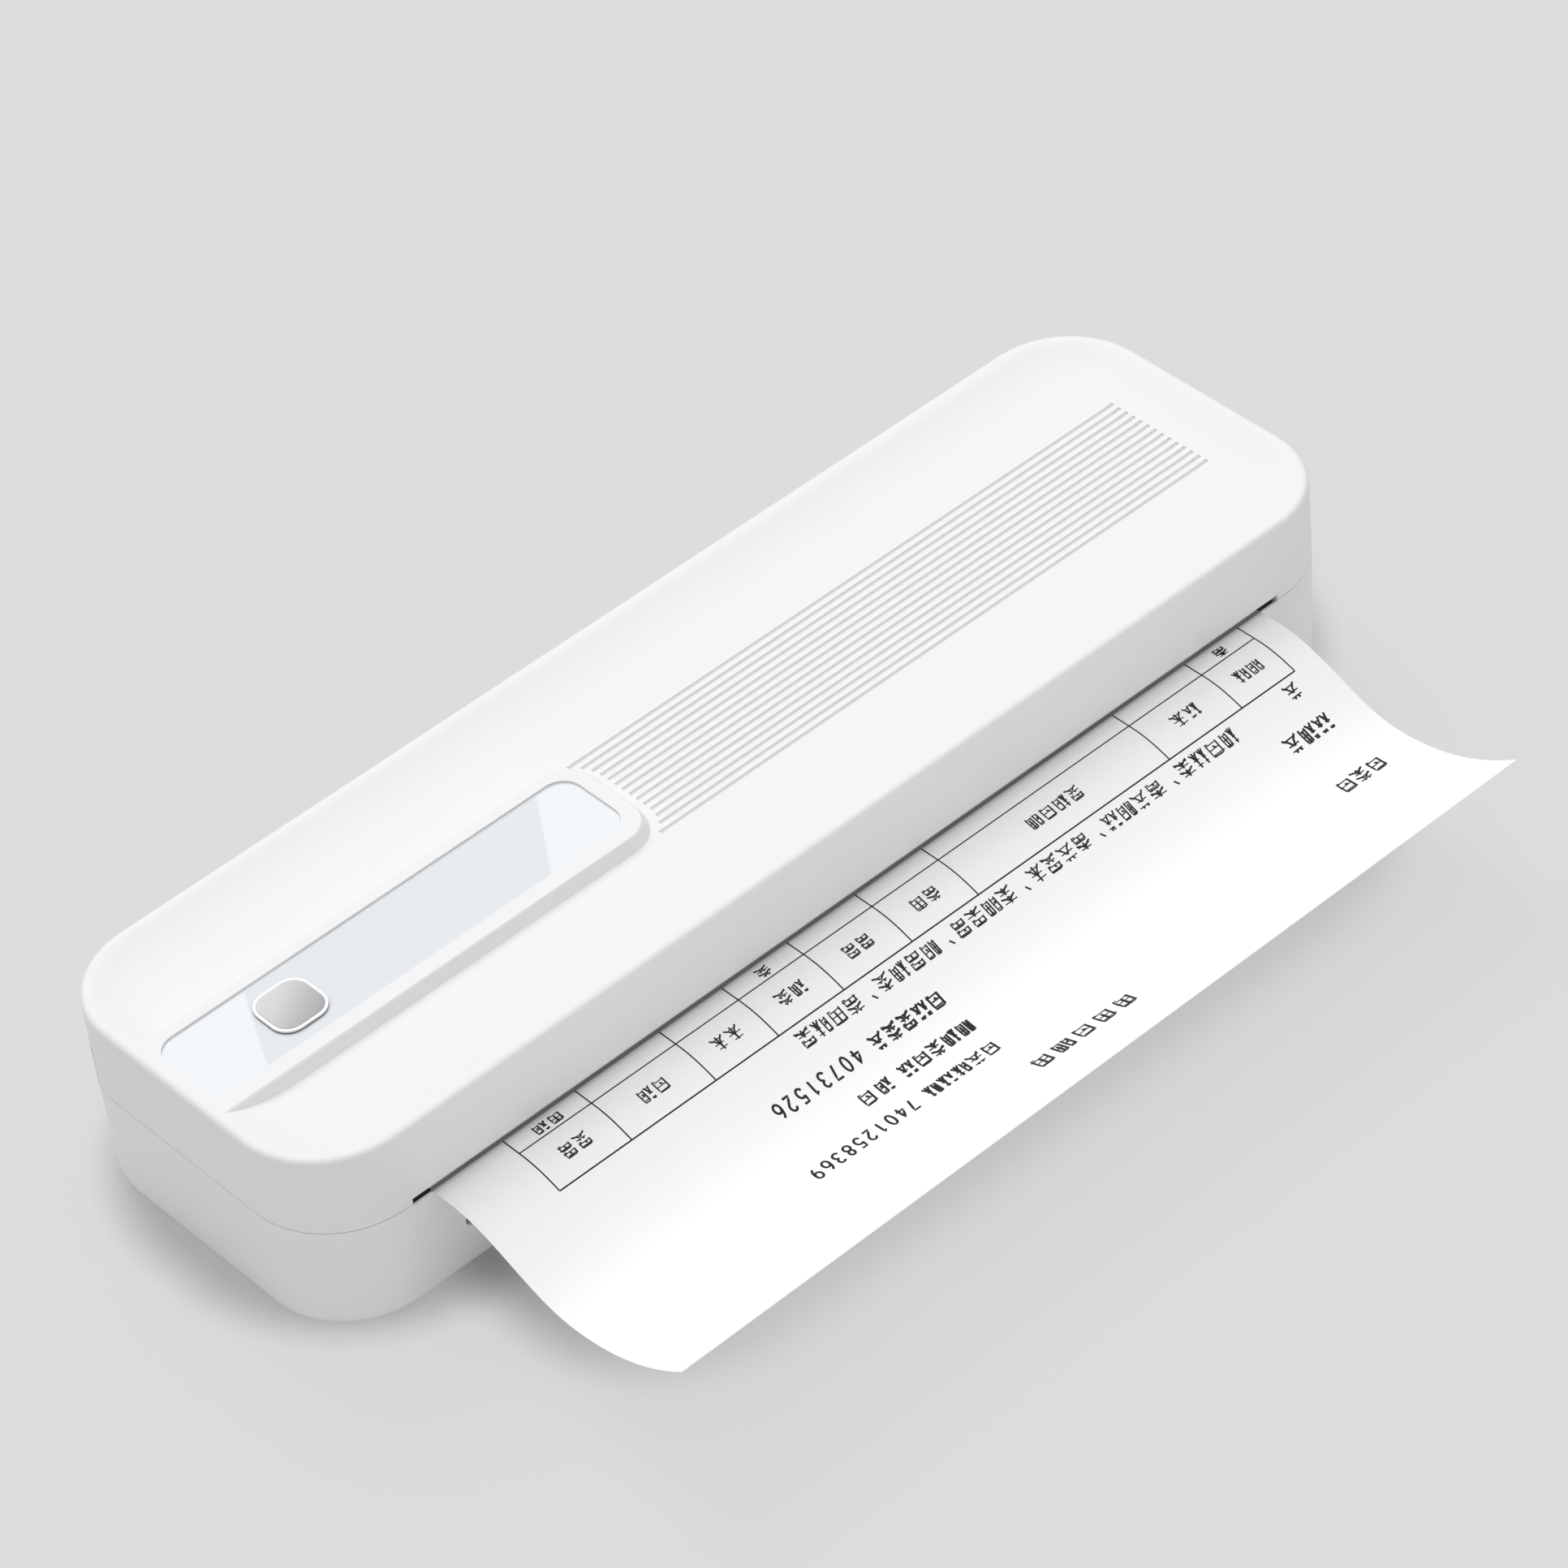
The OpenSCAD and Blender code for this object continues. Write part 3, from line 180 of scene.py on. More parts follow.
def smoothSplit(ob, angle, weighted=False):
    # weld loose triangles, split at the real edges, and for CAD meshes weight by face area
    ob.data.polygons.foreach_set("use_smooth", np.ones(len(ob.data.polygons), bool))
    weld = ob.modifiers.new("weld", "WELD")
    weld.merge_threshold = smoothing["weld"]
    split = ob.modifiers.new("split", "EDGE_SPLIT")
    split.split_angle = math.radians(angle)
    if weighted:
        wn = ob.modifiers.new("weighted", "WEIGHTED_NORMAL")
        wn.keep_sharp = True
        wn.weight = smoothing["faceWeight"]


def meshObj(name, verts, faces, smooth=True):
    me = bpy.data.meshes.new(name)
    me.from_pydata(np.asarray(verts, float).tolist(), [], [tuple(f) for f in faces])
    me.validate()
    me.update()
    if smooth:
        me.polygons.foreach_set("use_smooth", np.ones(len(me.polygons), bool))
    ob = bpy.data.objects.new(name, me)
    bpy.context.scene.collection.objects.link(ob)
    return ob


looks = {
    "casing": dict(colour=(0.9, 0.9, 0.9), rough=0.42, grain=2600, bump=0.05, vary=0.012,
                   spec=0.45),
    "footRubber": dict(colour=(0.035, 0.035, 0.038), rough=0.75, grain=1800, bump=0.25, vary=0.2),
    "steel": dict(colour=(0.55, 0.55, 0.56), rough=0.28, metal=1.0, grain=900,
                  stretch=(1, 12, 12), vary=0.1),
    "framePlastic": dict(colour=(0.045, 0.046, 0.05), rough=0.5, grain=2200, bump=0.12, vary=0.15),
    "bushPlastic": dict(colour=(0.75, 0.72, 0.64), rough=0.4, grain=1500, vary=0.05),
    "sensorPlastic": dict(colour=(0.012, 0.012, 0.014), rough=0.18, grain=900, bump=0.02,
                          vary=0.3),
    "chipBlack": dict(colour=(0.025, 0.025, 0.028), rough=0.55, grain=4000, bump=0.2, vary=0.2),
    "socketSteel": dict(colour=(0.6, 0.6, 0.62), rough=0.22, metal=1.0, grain=1400,
                        stretch=(1, 8, 1), vary=0.08),
    "motorSteel": dict(colour=(0.5, 0.5, 0.52), rough=0.34, metal=1.0, grain=700,
                       stretch=(1, 10, 10), vary=0.12),
    "paper": dict(colour=(0.985, 0.985, 0.985), rough=0.62, grain=1900, bump=0.06, vary=0.012,
                  spec=0.3),
    "platenRubber": dict(colour=(0.03, 0.03, 0.032), rough=0.62, grain=2400, bump=0.12, vary=0.15),
    "gearPlastic": dict(colour=(0.74, 0.72, 0.66), rough=0.38, grain=1600, bump=0.06, vary=0.05),
    "brass": dict(colour=(0.72, 0.53, 0.22), rough=0.3, metal=1.0, grain=1500, vary=0.1),
    "coreBoard": dict(colour=(0.42, 0.30, 0.18), rough=0.85, grain=900, bump=0.3,
                      stretch=(0.3, 3, 3), vary=0.3),
    "bezelWhite": dict(colour=(0.985, 0.985, 0.985), rough=0.2, grain=900, bump=0.01, vary=0.005,
                       roughVary=0.02),
    "buttonSatin": dict(colour=(0.74, 0.745, 0.75), rough=0.45, metal=0.1, grain=2600, bump=0.02,
                        vary=0.02, roughVary=0.03),
    "sinkAluminium": dict(colour=(0.72, 0.72, 0.73), rough=0.32, metal=1.0, grain=1100,
                          stretch=(0.2, 6, 6), vary=0.08),
    "ceramic": dict(colour=(0.55, 0.46, 0.33), rough=0.2, grain=1000, bump=0.02, vary=0.06,
                    coat=0.4),
    "insertGloss": dict(colour=(0.895, 0.918, 0.945), rough=0.02, grain=300, bump=0.0, vary=0.006,
                        roughVary=0.01, coat=1.0, coatRough=0.0, coatIor=1.8),
    "cellSleeve": dict(colour=(0.03, 0.12, 0.3), rough=0.25, grain=500, bump=0.05, vary=0.15,
                       coat=0.5),
    "thermalInk": dict(colour=(0.012, 0.012, 0.014), rough=0.6, grain=5000, vary=0.5, bump=0.0),
    "leadRed": dict(colour=(0.45, 0.02, 0.02), rough=0.4, grain=1800, vary=0.1),
    "leadBlack": dict(colour=(0.02, 0.02, 0.022), rough=0.4, grain=1800, vary=0.1),
}

# one of the looks times a grey ramp along a direction, from start to end in metres: painted shade
# on the sheet where it leaves the slot, painted shade across the button from its rear left to its
# front right, and painted shade on the bezel's side below its white face
ramps = {
    # painted shade: the paper darkens towards the slot, with a dark painted band just inside it
    "sheetPaper": dict(look="paper", along=(0, 1, 0), start=-0.047, end=-0.037,
                       stops=((0.0, 1.0), (0.45, 0.97), (0.7, 0.86), (0.785, 0.64), (0.81, 0.28),
                              (0.86, 0.28), (0.93, 1.0))),
    # painted shade: the button's face is lighter at its rear left and darker at its front right
    "buttonFace": dict(look="buttonSatin", along=(-0.5, 0.866, 0), start=0.0453, end=0.0576,
                       stops=((0.0, 0.56), (0.35, 0.72), (0.7, 0.93), (1.0, 1.0))),
    # painted shade: the bezel's side is dark below its white face
    "bezelWhite": dict(look="bezelWhite", along=(0, 0, 1), start=0.0416, end=0.0422,
                       stops=((0.0, 0.16), (0.45, 0.2), (0.7, 1.0))),
}


def rampedMat(name, look, along, start, end, stops):
    mat = surfaceMat(name, **looks[look])
    nt = mat.node_tree
    dot = nt.nodes.new("ShaderNodeVectorMath")
    dot.operation = "DOT_PRODUCT"
    dot.inputs[1].default_value = along
    link(nt, objCoords(nt), dot.inputs[0])
    ramp = nt.nodes.new("ShaderNodeValToRGB")
    while len(ramp.color_ramp.elements) < len(stops):
        ramp.color_ramp.elements.new(0.5)
    for el, (at, grey) in zip(ramp.color_ramp.elements, stops):
        el.position = at
        el.color = (grey, grey, grey, 1)
    link(nt, remap(nt, dot.outputs["Value"], start, end), ramp.inputs["Fac"])
    multiplyBase(nt, nt.nodes["Principled BSDF"], ramp.outputs["Color"])
    return mat


# where the grip grooves lie on the cover, seen from above, and between which heights painted shade
# darkens them
groove = dict(centre=(0.0408, 0), half=(0.076, 0.0145), within=0.0001, top=0.03947, deep=0.0392,
              under=0.0388, shade=0.88)


def coverMat():
    # the casing's look, with painted shade down in the grip grooves
    g = groove
    mat = surfaceMat("coverCasing", **looks["casing"])
    nt = mat.node_tree
    vec = objCoords(nt)
    z = axisOf(nt, vec, "Z")
    gap = boxGap(nt, vec, g["centre"], g["half"], 0.0)
    # the cover's inner side lies lower and keeps its colour
    outside = mathNode(nt, "GREATER_THAN", z, g["under"])
    within = mathNode(nt, "MULTIPLY", outside, mathNode(nt, "LESS_THAN", gap, g["within"]))
    depth = remap(nt, z, g["deep"], g["top"], 1 - g["shade"], 0.0, "SMOOTHSTEP")
    tone = mathNode(nt, "SUBTRACT", 1.0, mathNode(nt, "MULTIPLY", within, depth))
    multiplyBase(nt, nt.nodes["Principled BSDF"], tone)
    return mat


board = dict(scale=260.0, track=0.035, width=1.7, row=0.35, mask=(0.008, 0.085, 0.035, 1),
             mask2=(0.01, 0.1, 0.04, 1), copper=(0.03, 0.2, 0.08, 1), rough=0.3, bump=0.15,
             depth=0.00005)


def boardMat():
    # green mask over a faint lattice of copper tracks, from a stretched brick pattern
    b = board
    mat, nt, bsdf = newMat("boardGreen")
    br = nt.nodes.new("ShaderNodeTexBrick")
    br.inputs["Scale"].default_value = b["scale"]
    br.inputs["Mortar Size"].default_value = b["track"]
    br.inputs["Brick Width"].default_value = b["width"]
    br.inputs["Row Height"].default_value = b["row"]
    br.inputs["Color1"].default_value = b["mask"]
    br.inputs["Color2"].default_value = b["mask2"]
    br.inputs["Mortar"].default_value = b["copper"]
    link(nt, objCoords(nt), br.inputs["Vector"])
    link(nt, br.outputs["Color"], bsdf.inputs["Base Color"])
    bsdf.inputs["Roughness"].default_value = b["rough"]
    bumpOn(nt, bsdf, br.outputs["Fac"], b["bump"], b["depth"])
    return mat


mats = {k: surfaceMat(k, **v) for k, v in looks.items() if k not in ramps}
mats.update({k: rampedMat(k, **v) for k, v in ramps.items()})
mats["coverCasing"] = coverMat()
mats["boardGreen"] = boardMat()

wears = {
    "casing": ["base_shell"], "coverCasing": ["cover_shell"], "footRubber": ["rubber_feet"],
    "steel": ["base_screws", "hinge_pins", "board_screws", "motor_screws", "idler_axle",
              "platen_shaft", "motor_shaft", "cover_screws", "cover_latches", "pivot_pins",
              "head_springs"],
    "framePlastic": ["inner_frame", "cover_frame"], "bushPlastic": ["platen_bushes"],
    "sensorPlastic": ["paper_sensor"], "cellSleeve": ["battery_cells"],
    "boardGreen": ["main_board", "switch_board"], "chipBlack": ["board_chips", "switch_plunger"],
    "socketSteel": ["usb_socket", "power_switch"], "motorSteel": ["motor_can", "head_bracket"],
    "paper": ["paper_sheet", "paper_roll"], "platenRubber": ["platen_rubber"],
    "gearPlastic": ["platen_gear", "idler_gear"], "brass": ["motor_pinion"],
    "coreBoard": ["roll_core"], "insertGloss": ["panel_insert"], "bezelWhite": ["button_bezel"],
    "buttonSatin": ["power_button"], "sinkAluminium": ["heat_sink"], "ceramic": ["head_ceramic"],
}
for key, names in wears.items():
    for n in names:
        setMat(nodes[n], mats[key])
        smoothSplit(nodes[n], smoothing["nodeAngle"], True)
print("materials on", len(nodes), "nodes")

sheet = dict(halfW=105.0, front=-39.1, flat=23.69, thick=0.12, bend=5.0, low=36.4, end=66.9,
             drop=8.7, rise=11.3, feedY0=-29.1, feedY1=14.5, feedZ1=33.1,
             feedRows=12, slotRows=14, rows=150, cols=60, splitAngle=40)


def sheetZ(y):
    # outside the slot the sheet dips along half a cosine, then its loose end rises as a parabola;
    # inside it climbs in a straight line over the platen to the roll
    s = sheet
    y = np.asarray(y, float)
    t = np.clip((s["front"] - s["bend"] - y) / (s["low"] - s["bend"]), 0, 1)
    u = np.clip((s["front"] - s["low"] - y) / (s["end"] - s["low"]), 0, 1)
    out = s["flat"] - s["drop"] * (1 - np.cos(math.pi * t)) / 2 + s["rise"] * u * u
    slope = (s["feedZ1"] - s["flat"]) / (s["feedY1"] - s["feedY0"])
    return np.where(y > s["feedY0"], s["flat"] + (y - s["feedY0"]) * slope, out)


def sheetNormal(y, step=0.05):
    # across the slope, which is measured over a short step to both sides
    dz = (sheetZ(y + step) - sheetZ(y - step)) / (2 * step)
    n = np.stack([-dz, np.ones_like(dz)], -1)
    return n / np.linalg.norm(n, axis=-1, keepdims=True)


def makeSheet():
    # closed strip: the centre line offset by half the thickness up and down its normal,
    # carried along X
    s = sheet
    bendY, endY = s["front"] - s["bend"], s["front"] - s["end"]
    y = np.concatenate([np.linspace(s["feedY1"], s["feedY0"] + 1, s["feedRows"]),
                        np.linspace(s["feedY0"], bendY, s["slotRows"]),
                        np.linspace(bendY, endY, s["rows"])[1:]])
    z = sheetZ(y)
    n = sheetNormal(y)
    h = s["thick"] / 2
    top = np.stack([y + n[:, 0] * h, z + n[:, 1] * h], -1)
    low = np.stack([y - n[:, 0] * h, z - n[:, 1] * h], -1)
    loop = np.concatenate([top, low[::-1]])
    x = np.linspace(-s["halfW"], s["halfW"], s["cols"])
    nx, nl = len(x), len(loop)
    verts = np.zeros((nx, nl, 3))
    verts[..., 0] = x[:, None]
    verts[..., 1:] = loop[None]
    a, b = np.meshgrid(np.arange(nx - 1), np.arange(nl), indexing="ij")
    b2 = (b + 1) % nl
    quads = np.stack([a * nl + b, a * nl + b2, (a + 1) * nl + b2, (a + 1) * nl + b], -1)
    i = np.arange(nl // 2 - 1)
    endCap = np.stack([i, nl - 1 - i, nl - 2 - i, i + 1], -1)
    faces = np.concatenate([quads.reshape(-1, 4), endCap, endCap[:, ::-1] + (nx - 1) * nl])
    ob = meshObj("printedSheet", verts.reshape(-1, 3) * mm, faces.tolist())
    split = ob.modifiers.new("split", "EDGE_SPLIT")
    split.split_angle = math.radians(s["splitAngle"])
    setMat(ob, mats["sheetPaper"])
    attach(ob, "base")
    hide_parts("paper_sheet")


makeSheet()

# the print: a table with made-up signs in and above it, lines of signs below, plain digits
marks = dict(lift=0.075, step=0.8, line=0.3, left=-88.4, right=98.7, near=-43.45, far=-54.15,
             start=-38.9, dividers=(-71.2, -50.8, -35.4, -19.2, -2.0, 14.9, 64.9, 84.4),
             thin=0.22, thick=0.4, seed=41, firstSign=3, cellPitch=3.5, cellSign=(2.9, 3.1),
             cellY=-48.8, wideCell=30, headSign=(2.9, 2.5), headY=-41.4,
             heads=((-88.4, -71.2, 2), (-35.4, -19.2, 1), (84.4, 98.7, 1)),
             comma=0.4, longLine=10, commaEvery=5, digitSize=(1.9, 3.0), digitWidth=0.5,
             # one line of signs each: first x, y, count, pitch, boldness, height
             signLines=((79.0, -57.2, 29, 3.9, 1.0, 3.3), (-5.4, -65.0, 5, 3.6, 1.45, 3.3),
                        (-5.4, -72.6, 5, 3.6, 1.3, 3.3), (-6.0, -79.9, 5, 3.6, 1.3, 3.3),
                        (17.3, -91.3, 5, 5.2, 1.5, 3.9), (96.5, -57.0, 1, 3.6, 1.2, 3.2),
                        (96.5, -65.0, 3, 4.0, 1.35, 3.6), (96.5, -78.8, 3, 4.0, 1.35, 3.6)),
             # one row of digits each: first x, y, pitch, digits
             digitRows=((-25.5, -65.0, 2.75, (4, 0, 7, 3, 1, 5, 2, 6)),
                        (-26.0, -79.9, 2.6, (7, 4, 0, 1, 2, 5, 8, 3, 6, 9))),
             # two loose signs: first x, y, pitch, width, height, boldness, number
             looseSigns=(-27.0, -72.6, 4.2, 3.0, 3.3, 1.3, 5),
             # how a sign is divided, as the left, right, bottom and top of each part
             signParts=(((0.0, 1.0), (0.0, 1.0)),
                        ((0.0, 0.38), (0.0, 1.0), (0.48, 1.0), (0.0, 1.0)),
                        ((0.0, 1.0), (0.55, 1.0), (0.0, 1.0), (0.0, 0.46))))
strokes = []            # each a list of points on the sheet, seen from above, and a width


def stroke(points, width):
    strokes.append((np.array(points, float), width))


def drawTable():
    m = marks
    for y in (m["near"], m["far"]):
        stroke([(m["left"], y), (m["right"], y)], m["line"])
    for x in (m["left"], *m["dividers"], m["right"]):
        stroke([(x, m["far"]), (x, m["start"])], m["line"])


def drawSign(x, y, w, h, k, bold=1.0):
    # made-up sign in one or two parts, each of level, upright, slanting and dotted strokes,
    # read from behind; what it is made of is drawn by lot from its number
    rng = np.random.default_rng(marks["seed"] + k)
    thin, thick = marks["thin"] * bold, marks["thick"] * bold
    parts = marks["signParts"][int(rng.integers(0, 3))]
    for (u0, u1), (v0, v1) in zip(parts[::2], parts[1::2]):

        def at(u, v):
            return (x + w * (0.5 - u0 - (u1 - u0) * u), y + h * (0.5 - v0 - (v1 - v0) * v))

        kind = int(rng.integers(0, 4))
        count = 3 if v1 - v0 > 0.7 else 2
        for i in range(count):
            v = (i + 0.5) / count + rng.uniform(-0.05, 0.05)
            lo, hi = rng.uniform(0, 0.22), rng.uniform(0.78, 1.0)
            stroke([at(lo, v), at(hi, v + 0.03)], thin)
        if kind in (0, 1):
            stroke([at(0.5, 1.0), at(0.5, 0.0 if kind else 0.25)], thick)
        if kind in (1, 3):
            stroke([at(0.48, 0.62), at(0.3, 0.28), at(0.02, 0.02)], thick * 0.85)
            stroke([at(0.52, 0.6), at(0.72, 0.25), at(1.0, 0.04)], thick * 0.95)
        if kind in (0, 2):
            stroke([at(0.14, 0.95), at(0.12, 0.1)], thick * 0.9)
            stroke([at(0.2, 0.94), at(0.88, 0.94), at(0.88, 0.08), at(0.7, 0.12)], thick * 0.8)
        if kind == 2:
            stroke([at(0.35, 0.5), at(0.5, 0.34)], thick)
        if kind == 3:
            stroke([at(0.3, 1.0), at(0.4, 0.84)], thick)
            stroke([at(0.7, 1.0), at(0.62, 0.84)], thick)


def arc(cx, cy, rx, ry, start, stop, n=14):
    a = np.radians(np.linspace(start, stop, n))
    return list(zip(cx + rx * np.cos(a), cy + ry * np.sin(a)))


# the ten digits as lines in a unit box
digitLines = {
    0: [arc(0.5, 0.5, 0.36, 0.5, 90, 450, 22)],
    1: [[(0.28, 0.8), (0.55, 1.0), (0.55, 0.0)]],
    2: [arc(0.5, 0.72, 0.34, 0.28, 165, -30) + [(0.14, 0.0), (0.88, 0.0)]],
    3: [arc(0.47, 0.76, 0.32, 0.24, 155, -90) + arc(0.47, 0.26, 0.37, 0.26, 90, -155)],
    4: [[(0.68, 0.0), (0.68, 1.0), (0.08, 0.3), (0.94, 0.3)]],
    5: [[(0.82, 1.0), (0.24, 1.0), (0.2, 0.56)] + arc(0.48, 0.32, 0.36, 0.32, 125, -155)],
    6: [arc(0.62, 0.34, 0.48, 0.66, 105, 180) + arc(0.5, 0.3, 0.36, 0.3, 180, 540, 20)],
    7: [[(0.12, 1.0), (0.86, 1.0), (0.4, 0.0)]],
    8: [arc(0.5, 0.76, 0.29, 0.24, -90, 270, 18) + arc(0.5, 0.26, 0.36, 0.26, 90, 450, 18)],
    9: [arc(0.5, 0.7, 0.36, 0.3, 0, 360, 20) + arc(0.38, 0.66, 0.48, 0.66, 0, -75)],
}


def drawDigits(x, y, pitch, digits):
    w, h = marks["digitSize"]
    for i, d in enumerate(digits):
        for line in digitLines[d]:
            stroke([(x - i * pitch - u * w, y + h * (0.5 - v)) for u, v in line],
                   marks["digitWidth"])


def drawCentred(x, y, count, size, k):
    for i in range(count):
        drawSign(x + (i - (count - 1) / 2) * marks["cellPitch"], y, *size, k + i)
    return k + count


def drawText():
    m = marks
    edges = (m["left"], *m["dividers"], m["right"])
    k = m["firstSign"]
    for a, b in zip(edges[:-1], edges[1:]):
        count = 4 if b - a > m["wideCell"] else 2
        k = drawCentred((a + b) / 2, m["cellY"], count, m["cellSign"], k)
    for a, b, count in m["heads"]:
        k = drawCentred((a + b) / 2, m["headY"], count, m["headSign"], k)
    for x0, y, count, pitch, bold, h in m["signLines"]:
        for i in range(count):
            x = x0 - i * pitch
            if count > m["longLine"] and i % m["commaEvery"] == m["commaEvery"] - 1:
                stroke([(x - 0.6, y - h * 0.5), (x - 1.2, y - h * 0.2)], m["comma"])
            else:
                drawSign(x - 1.4, y, min(pitch - 0.6, h), h, k, bold)
            k += 1
    for row in m["digitRows"]:
        drawDigits(*row)
    x, y, pitch, w, h, bold, k = m["looseSigns"]
    for i in range(2):
        drawSign(x - i * pitch, y, w, h, k + i, bold)


def ribbonOn(points, width):
    # left and right edges of a stroke, cut finely enough to follow the curl
    fine = [points[:1]]
    for a, b in zip(points[:-1], points[1:]):
        n = int(abs(b[1] - a[1]) / marks["step"]) + 1
        fine.append(a + (b - a) * np.arange(1, n + 1)[:, None] / n)
    fine = np.concatenate(fine)
    d = np.gradient(fine, axis=0)
    d /= np.linalg.norm(d, axis=1, keepdims=True)
    side = np.stack([-d[:, 1], d[:, 0]], -1) * width / 2
    return fine + side, fine - side


def makeMarks():
    # every stroke becomes a strip of quads laid just above the curling sheet
    drawTable()
    drawText()
    verts, faces, base = [], [], 0
    for points, width in strokes:
        edges = np.stack(ribbonOn(points, width), 1).reshape(-1, 2)
        nrm = sheetNormal(edges[:, 1]) * marks["lift"]
        verts.append(np.stack([edges[:, 0], edges[:, 1] + nrm[:, 0],
                               sheetZ(edges[:, 1]) + nrm[:, 1]], -1))
        i = base + 2 * np.arange(len(edges) // 2 - 1)
        faces.append(np.stack([i, i + 2, i + 3, i + 1], -1))
        base += len(edges)
    ob = meshObj("printMarks", np.concatenate(verts) * mm, np.concatenate(faces).tolist())
    up = np.zeros(len(ob.data.polygons) * 3)
    ob.data.polygons.foreach_get("normal", up)
    if (up[2::3] < 0).mean() > 0.5:
        ob.data.flip_normals()
    setMat(ob, mats["thermalInk"])
    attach(ob, "base")


makeMarks()
print("sheet and", len(strokes), "strokes of print")

# z is how far the rubber feet stand below the casing's underside; dark is the painted shadow's
# colour; the casing's outline is given as half its length and depth, the sheet's as the middle and
# half size of the painted shadow under it
floor = dict(z=-0.0008, half=6, base=0.12, glow=0.6, rough=0.9, spec=0.1,
             light=(1, 1, 1.01), lightGlow=(0.975, 0.982, 1.0), dark=(0.05, 0.045, 0.03),
             casing=(0.1303, 0.0391), corner=0.034, reach=0.013, depth=0.42,
             under=(0, -0.05), underHalf=(0.109, 0.052), underCorner=0.04, underReach=0.014,
             underDepth=(0.1, 0.57), underY=(-0.095, -0.045))


def floorShade(nt):
    # painted contact shadow: it fades with the distance from the casing's foot, and from the edge
    # of the sheet overhead
    f = floor
    vec = objCoords(nt)
    foot = remap(nt, boxGap(nt, vec, (0, 0), f["casing"], f["corner"]), 0.0, f["reach"],
                 1 - f["depth"], 1.0, "SMOOTHSTEP")
    most = remap(nt, axisOf(nt, vec, "Y"), *f["underY"], *f["underDepth"])
    under = remap(nt, boxGap(nt, vec, f["under"], f["underHalf"], f["underCorner"]),
                  -f["underReach"], 0.0, 1.0, 0.0, "SMOOTHSTEP")
    lit = mathNode(nt, "SUBTRACT", 1.0, mathNode(nt, "MULTIPLY", most, under))
    return mathNode(nt, "MULTIPLY", foot, lit)


def makeFloor():
    # a light table: part of its tone is its own glow, so shadows on it stay faint
    f = floor
    h, z = f["half"], f["z"]
    ground = meshObj("studioFloor", [(-h, -h, z), (h, -h, z), (h, h, z), (-h, h, z)],
                     [(0, 1, 2, 3)], False)
    mat, nt, bsdf = newMat("floorGrey")
    shade = floorShade(nt)
    # the painted contact shadow darkens both the floor's colour and its glow
    dark, light = (tuple(f["base"] * c for c in f[k]) for k in ("dark", "light"))
    link(nt, mixCol(nt, shade, dark, light), bsdf.inputs["Base Color"])
    link(nt, mixCol(nt, shade, f["dark"], f["lightGlow"]), bsdf.inputs["Emission Color"])
    bsdf.inputs["Emission Strength"].default_value = f["glow"]
    bsdf.inputs["Roughness"].default_value = f["rough"]
    bsdf.inputs["Specular IOR Level"].default_value = f["spec"]
    setMat(ground, mat)


makeFloor()
print("floor laid")

cap = dict(x=-102.5, y=0.25, half=5.41, radius=3.36, top=42.22, dish=0.19, lip=0.09, side=0.12,
           first=0.08, last=0.965, rings=14, arc=14, roll=(0.985, 0.996), rollDrop=0.01,
           splitAngle=50.0)


def roundSquare(half, radius, n):
    # corner arcs joined by straight sides, counter-clockwise
    a = np.linspace(0, math.pi / 2, n) + np.arange(4)[:, None] * math.pi / 2
    corner = np.array([(1, 1), (-1, 1), (-1, -1), (1, -1)])[:, None] * (half - radius)
    return (corner + radius * np.stack([np.cos(a), np.sin(a)], -1)).reshape(-1, 2)


def makeCap():
    # finger dish: the face rises with the square of the distance from its middle, then rolls
    # over a small lip
    c = cap
    outline = roundSquare(c["half"], c["radius"], c["arc"])
    n = len(outline)
    rim, foot = c["top"] + c["dish"], c["top"] - c["side"]
    face = np.linspace(c["first"], c["last"], c["rings"])
    t = np.concatenate([face, c["roll"], (1.0, 1.0)])
    z = np.concatenate([c["top"] + c["dish"] * face * face,
                        (rim - c["rollDrop"], rim - c["lip"] * 0.5, rim - c["lip"], foot)])
    rings = np.zeros((len(t), n, 3))
    rings[..., :2] = np.array([c["x"], c["y"]]) + t[:, None, None] * outline
    rings[..., 2] = z[:, None]
    middle = [(c["x"], c["y"], c["top"])]
    verts = np.concatenate([middle, rings.reshape(-1, 3), [(c["x"], c["y"], foot)]])
    k, i = np.meshgrid(np.arange(len(t) - 1), np.arange(n), indexing="ij")
    lo, hi, i2 = 1 + k * n, 1 + (k + 1) * n, (i + 1) % n
    quads = np.stack([lo + i, hi + i, hi + i2, lo + i2], -1).reshape(-1, 4)
    i, last, end = np.arange(n), 1 + (len(t) - 1) * n, len(verts) - 1
    i2 = (i + 1) % n
    inner = np.stack([0 * i, 1 + i, 1 + i2], -1)
    outer = np.stack([last + i2, last + i, 0 * i + end], -1)
    ob = meshObj("buttonFace", verts * mm, inner.tolist() + quads.tolist() + outer.tolist())
    smoothSplit(ob, c["splitAngle"], True)
    # its material carries the painted shade across the face
    setMat(ob, mats["buttonFace"])
    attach(ob, "button")


makeCap()
print("button face on")


def rounded(points, times=3):
    # corner cutting: every corner is replaced by points a quarter and three quarters along
    # its sides
    p = np.array(points, float)
    for _ in range(times):
        q = 0.75 * p[:-1] + 0.25 * p[1:]
        r = 0.25 * p[:-1] + 0.75 * p[1:]
        p = np.concatenate([p[:1], np.stack([q, r], 1).reshape(-1, p.shape[1]), p[-1:]])
    return p


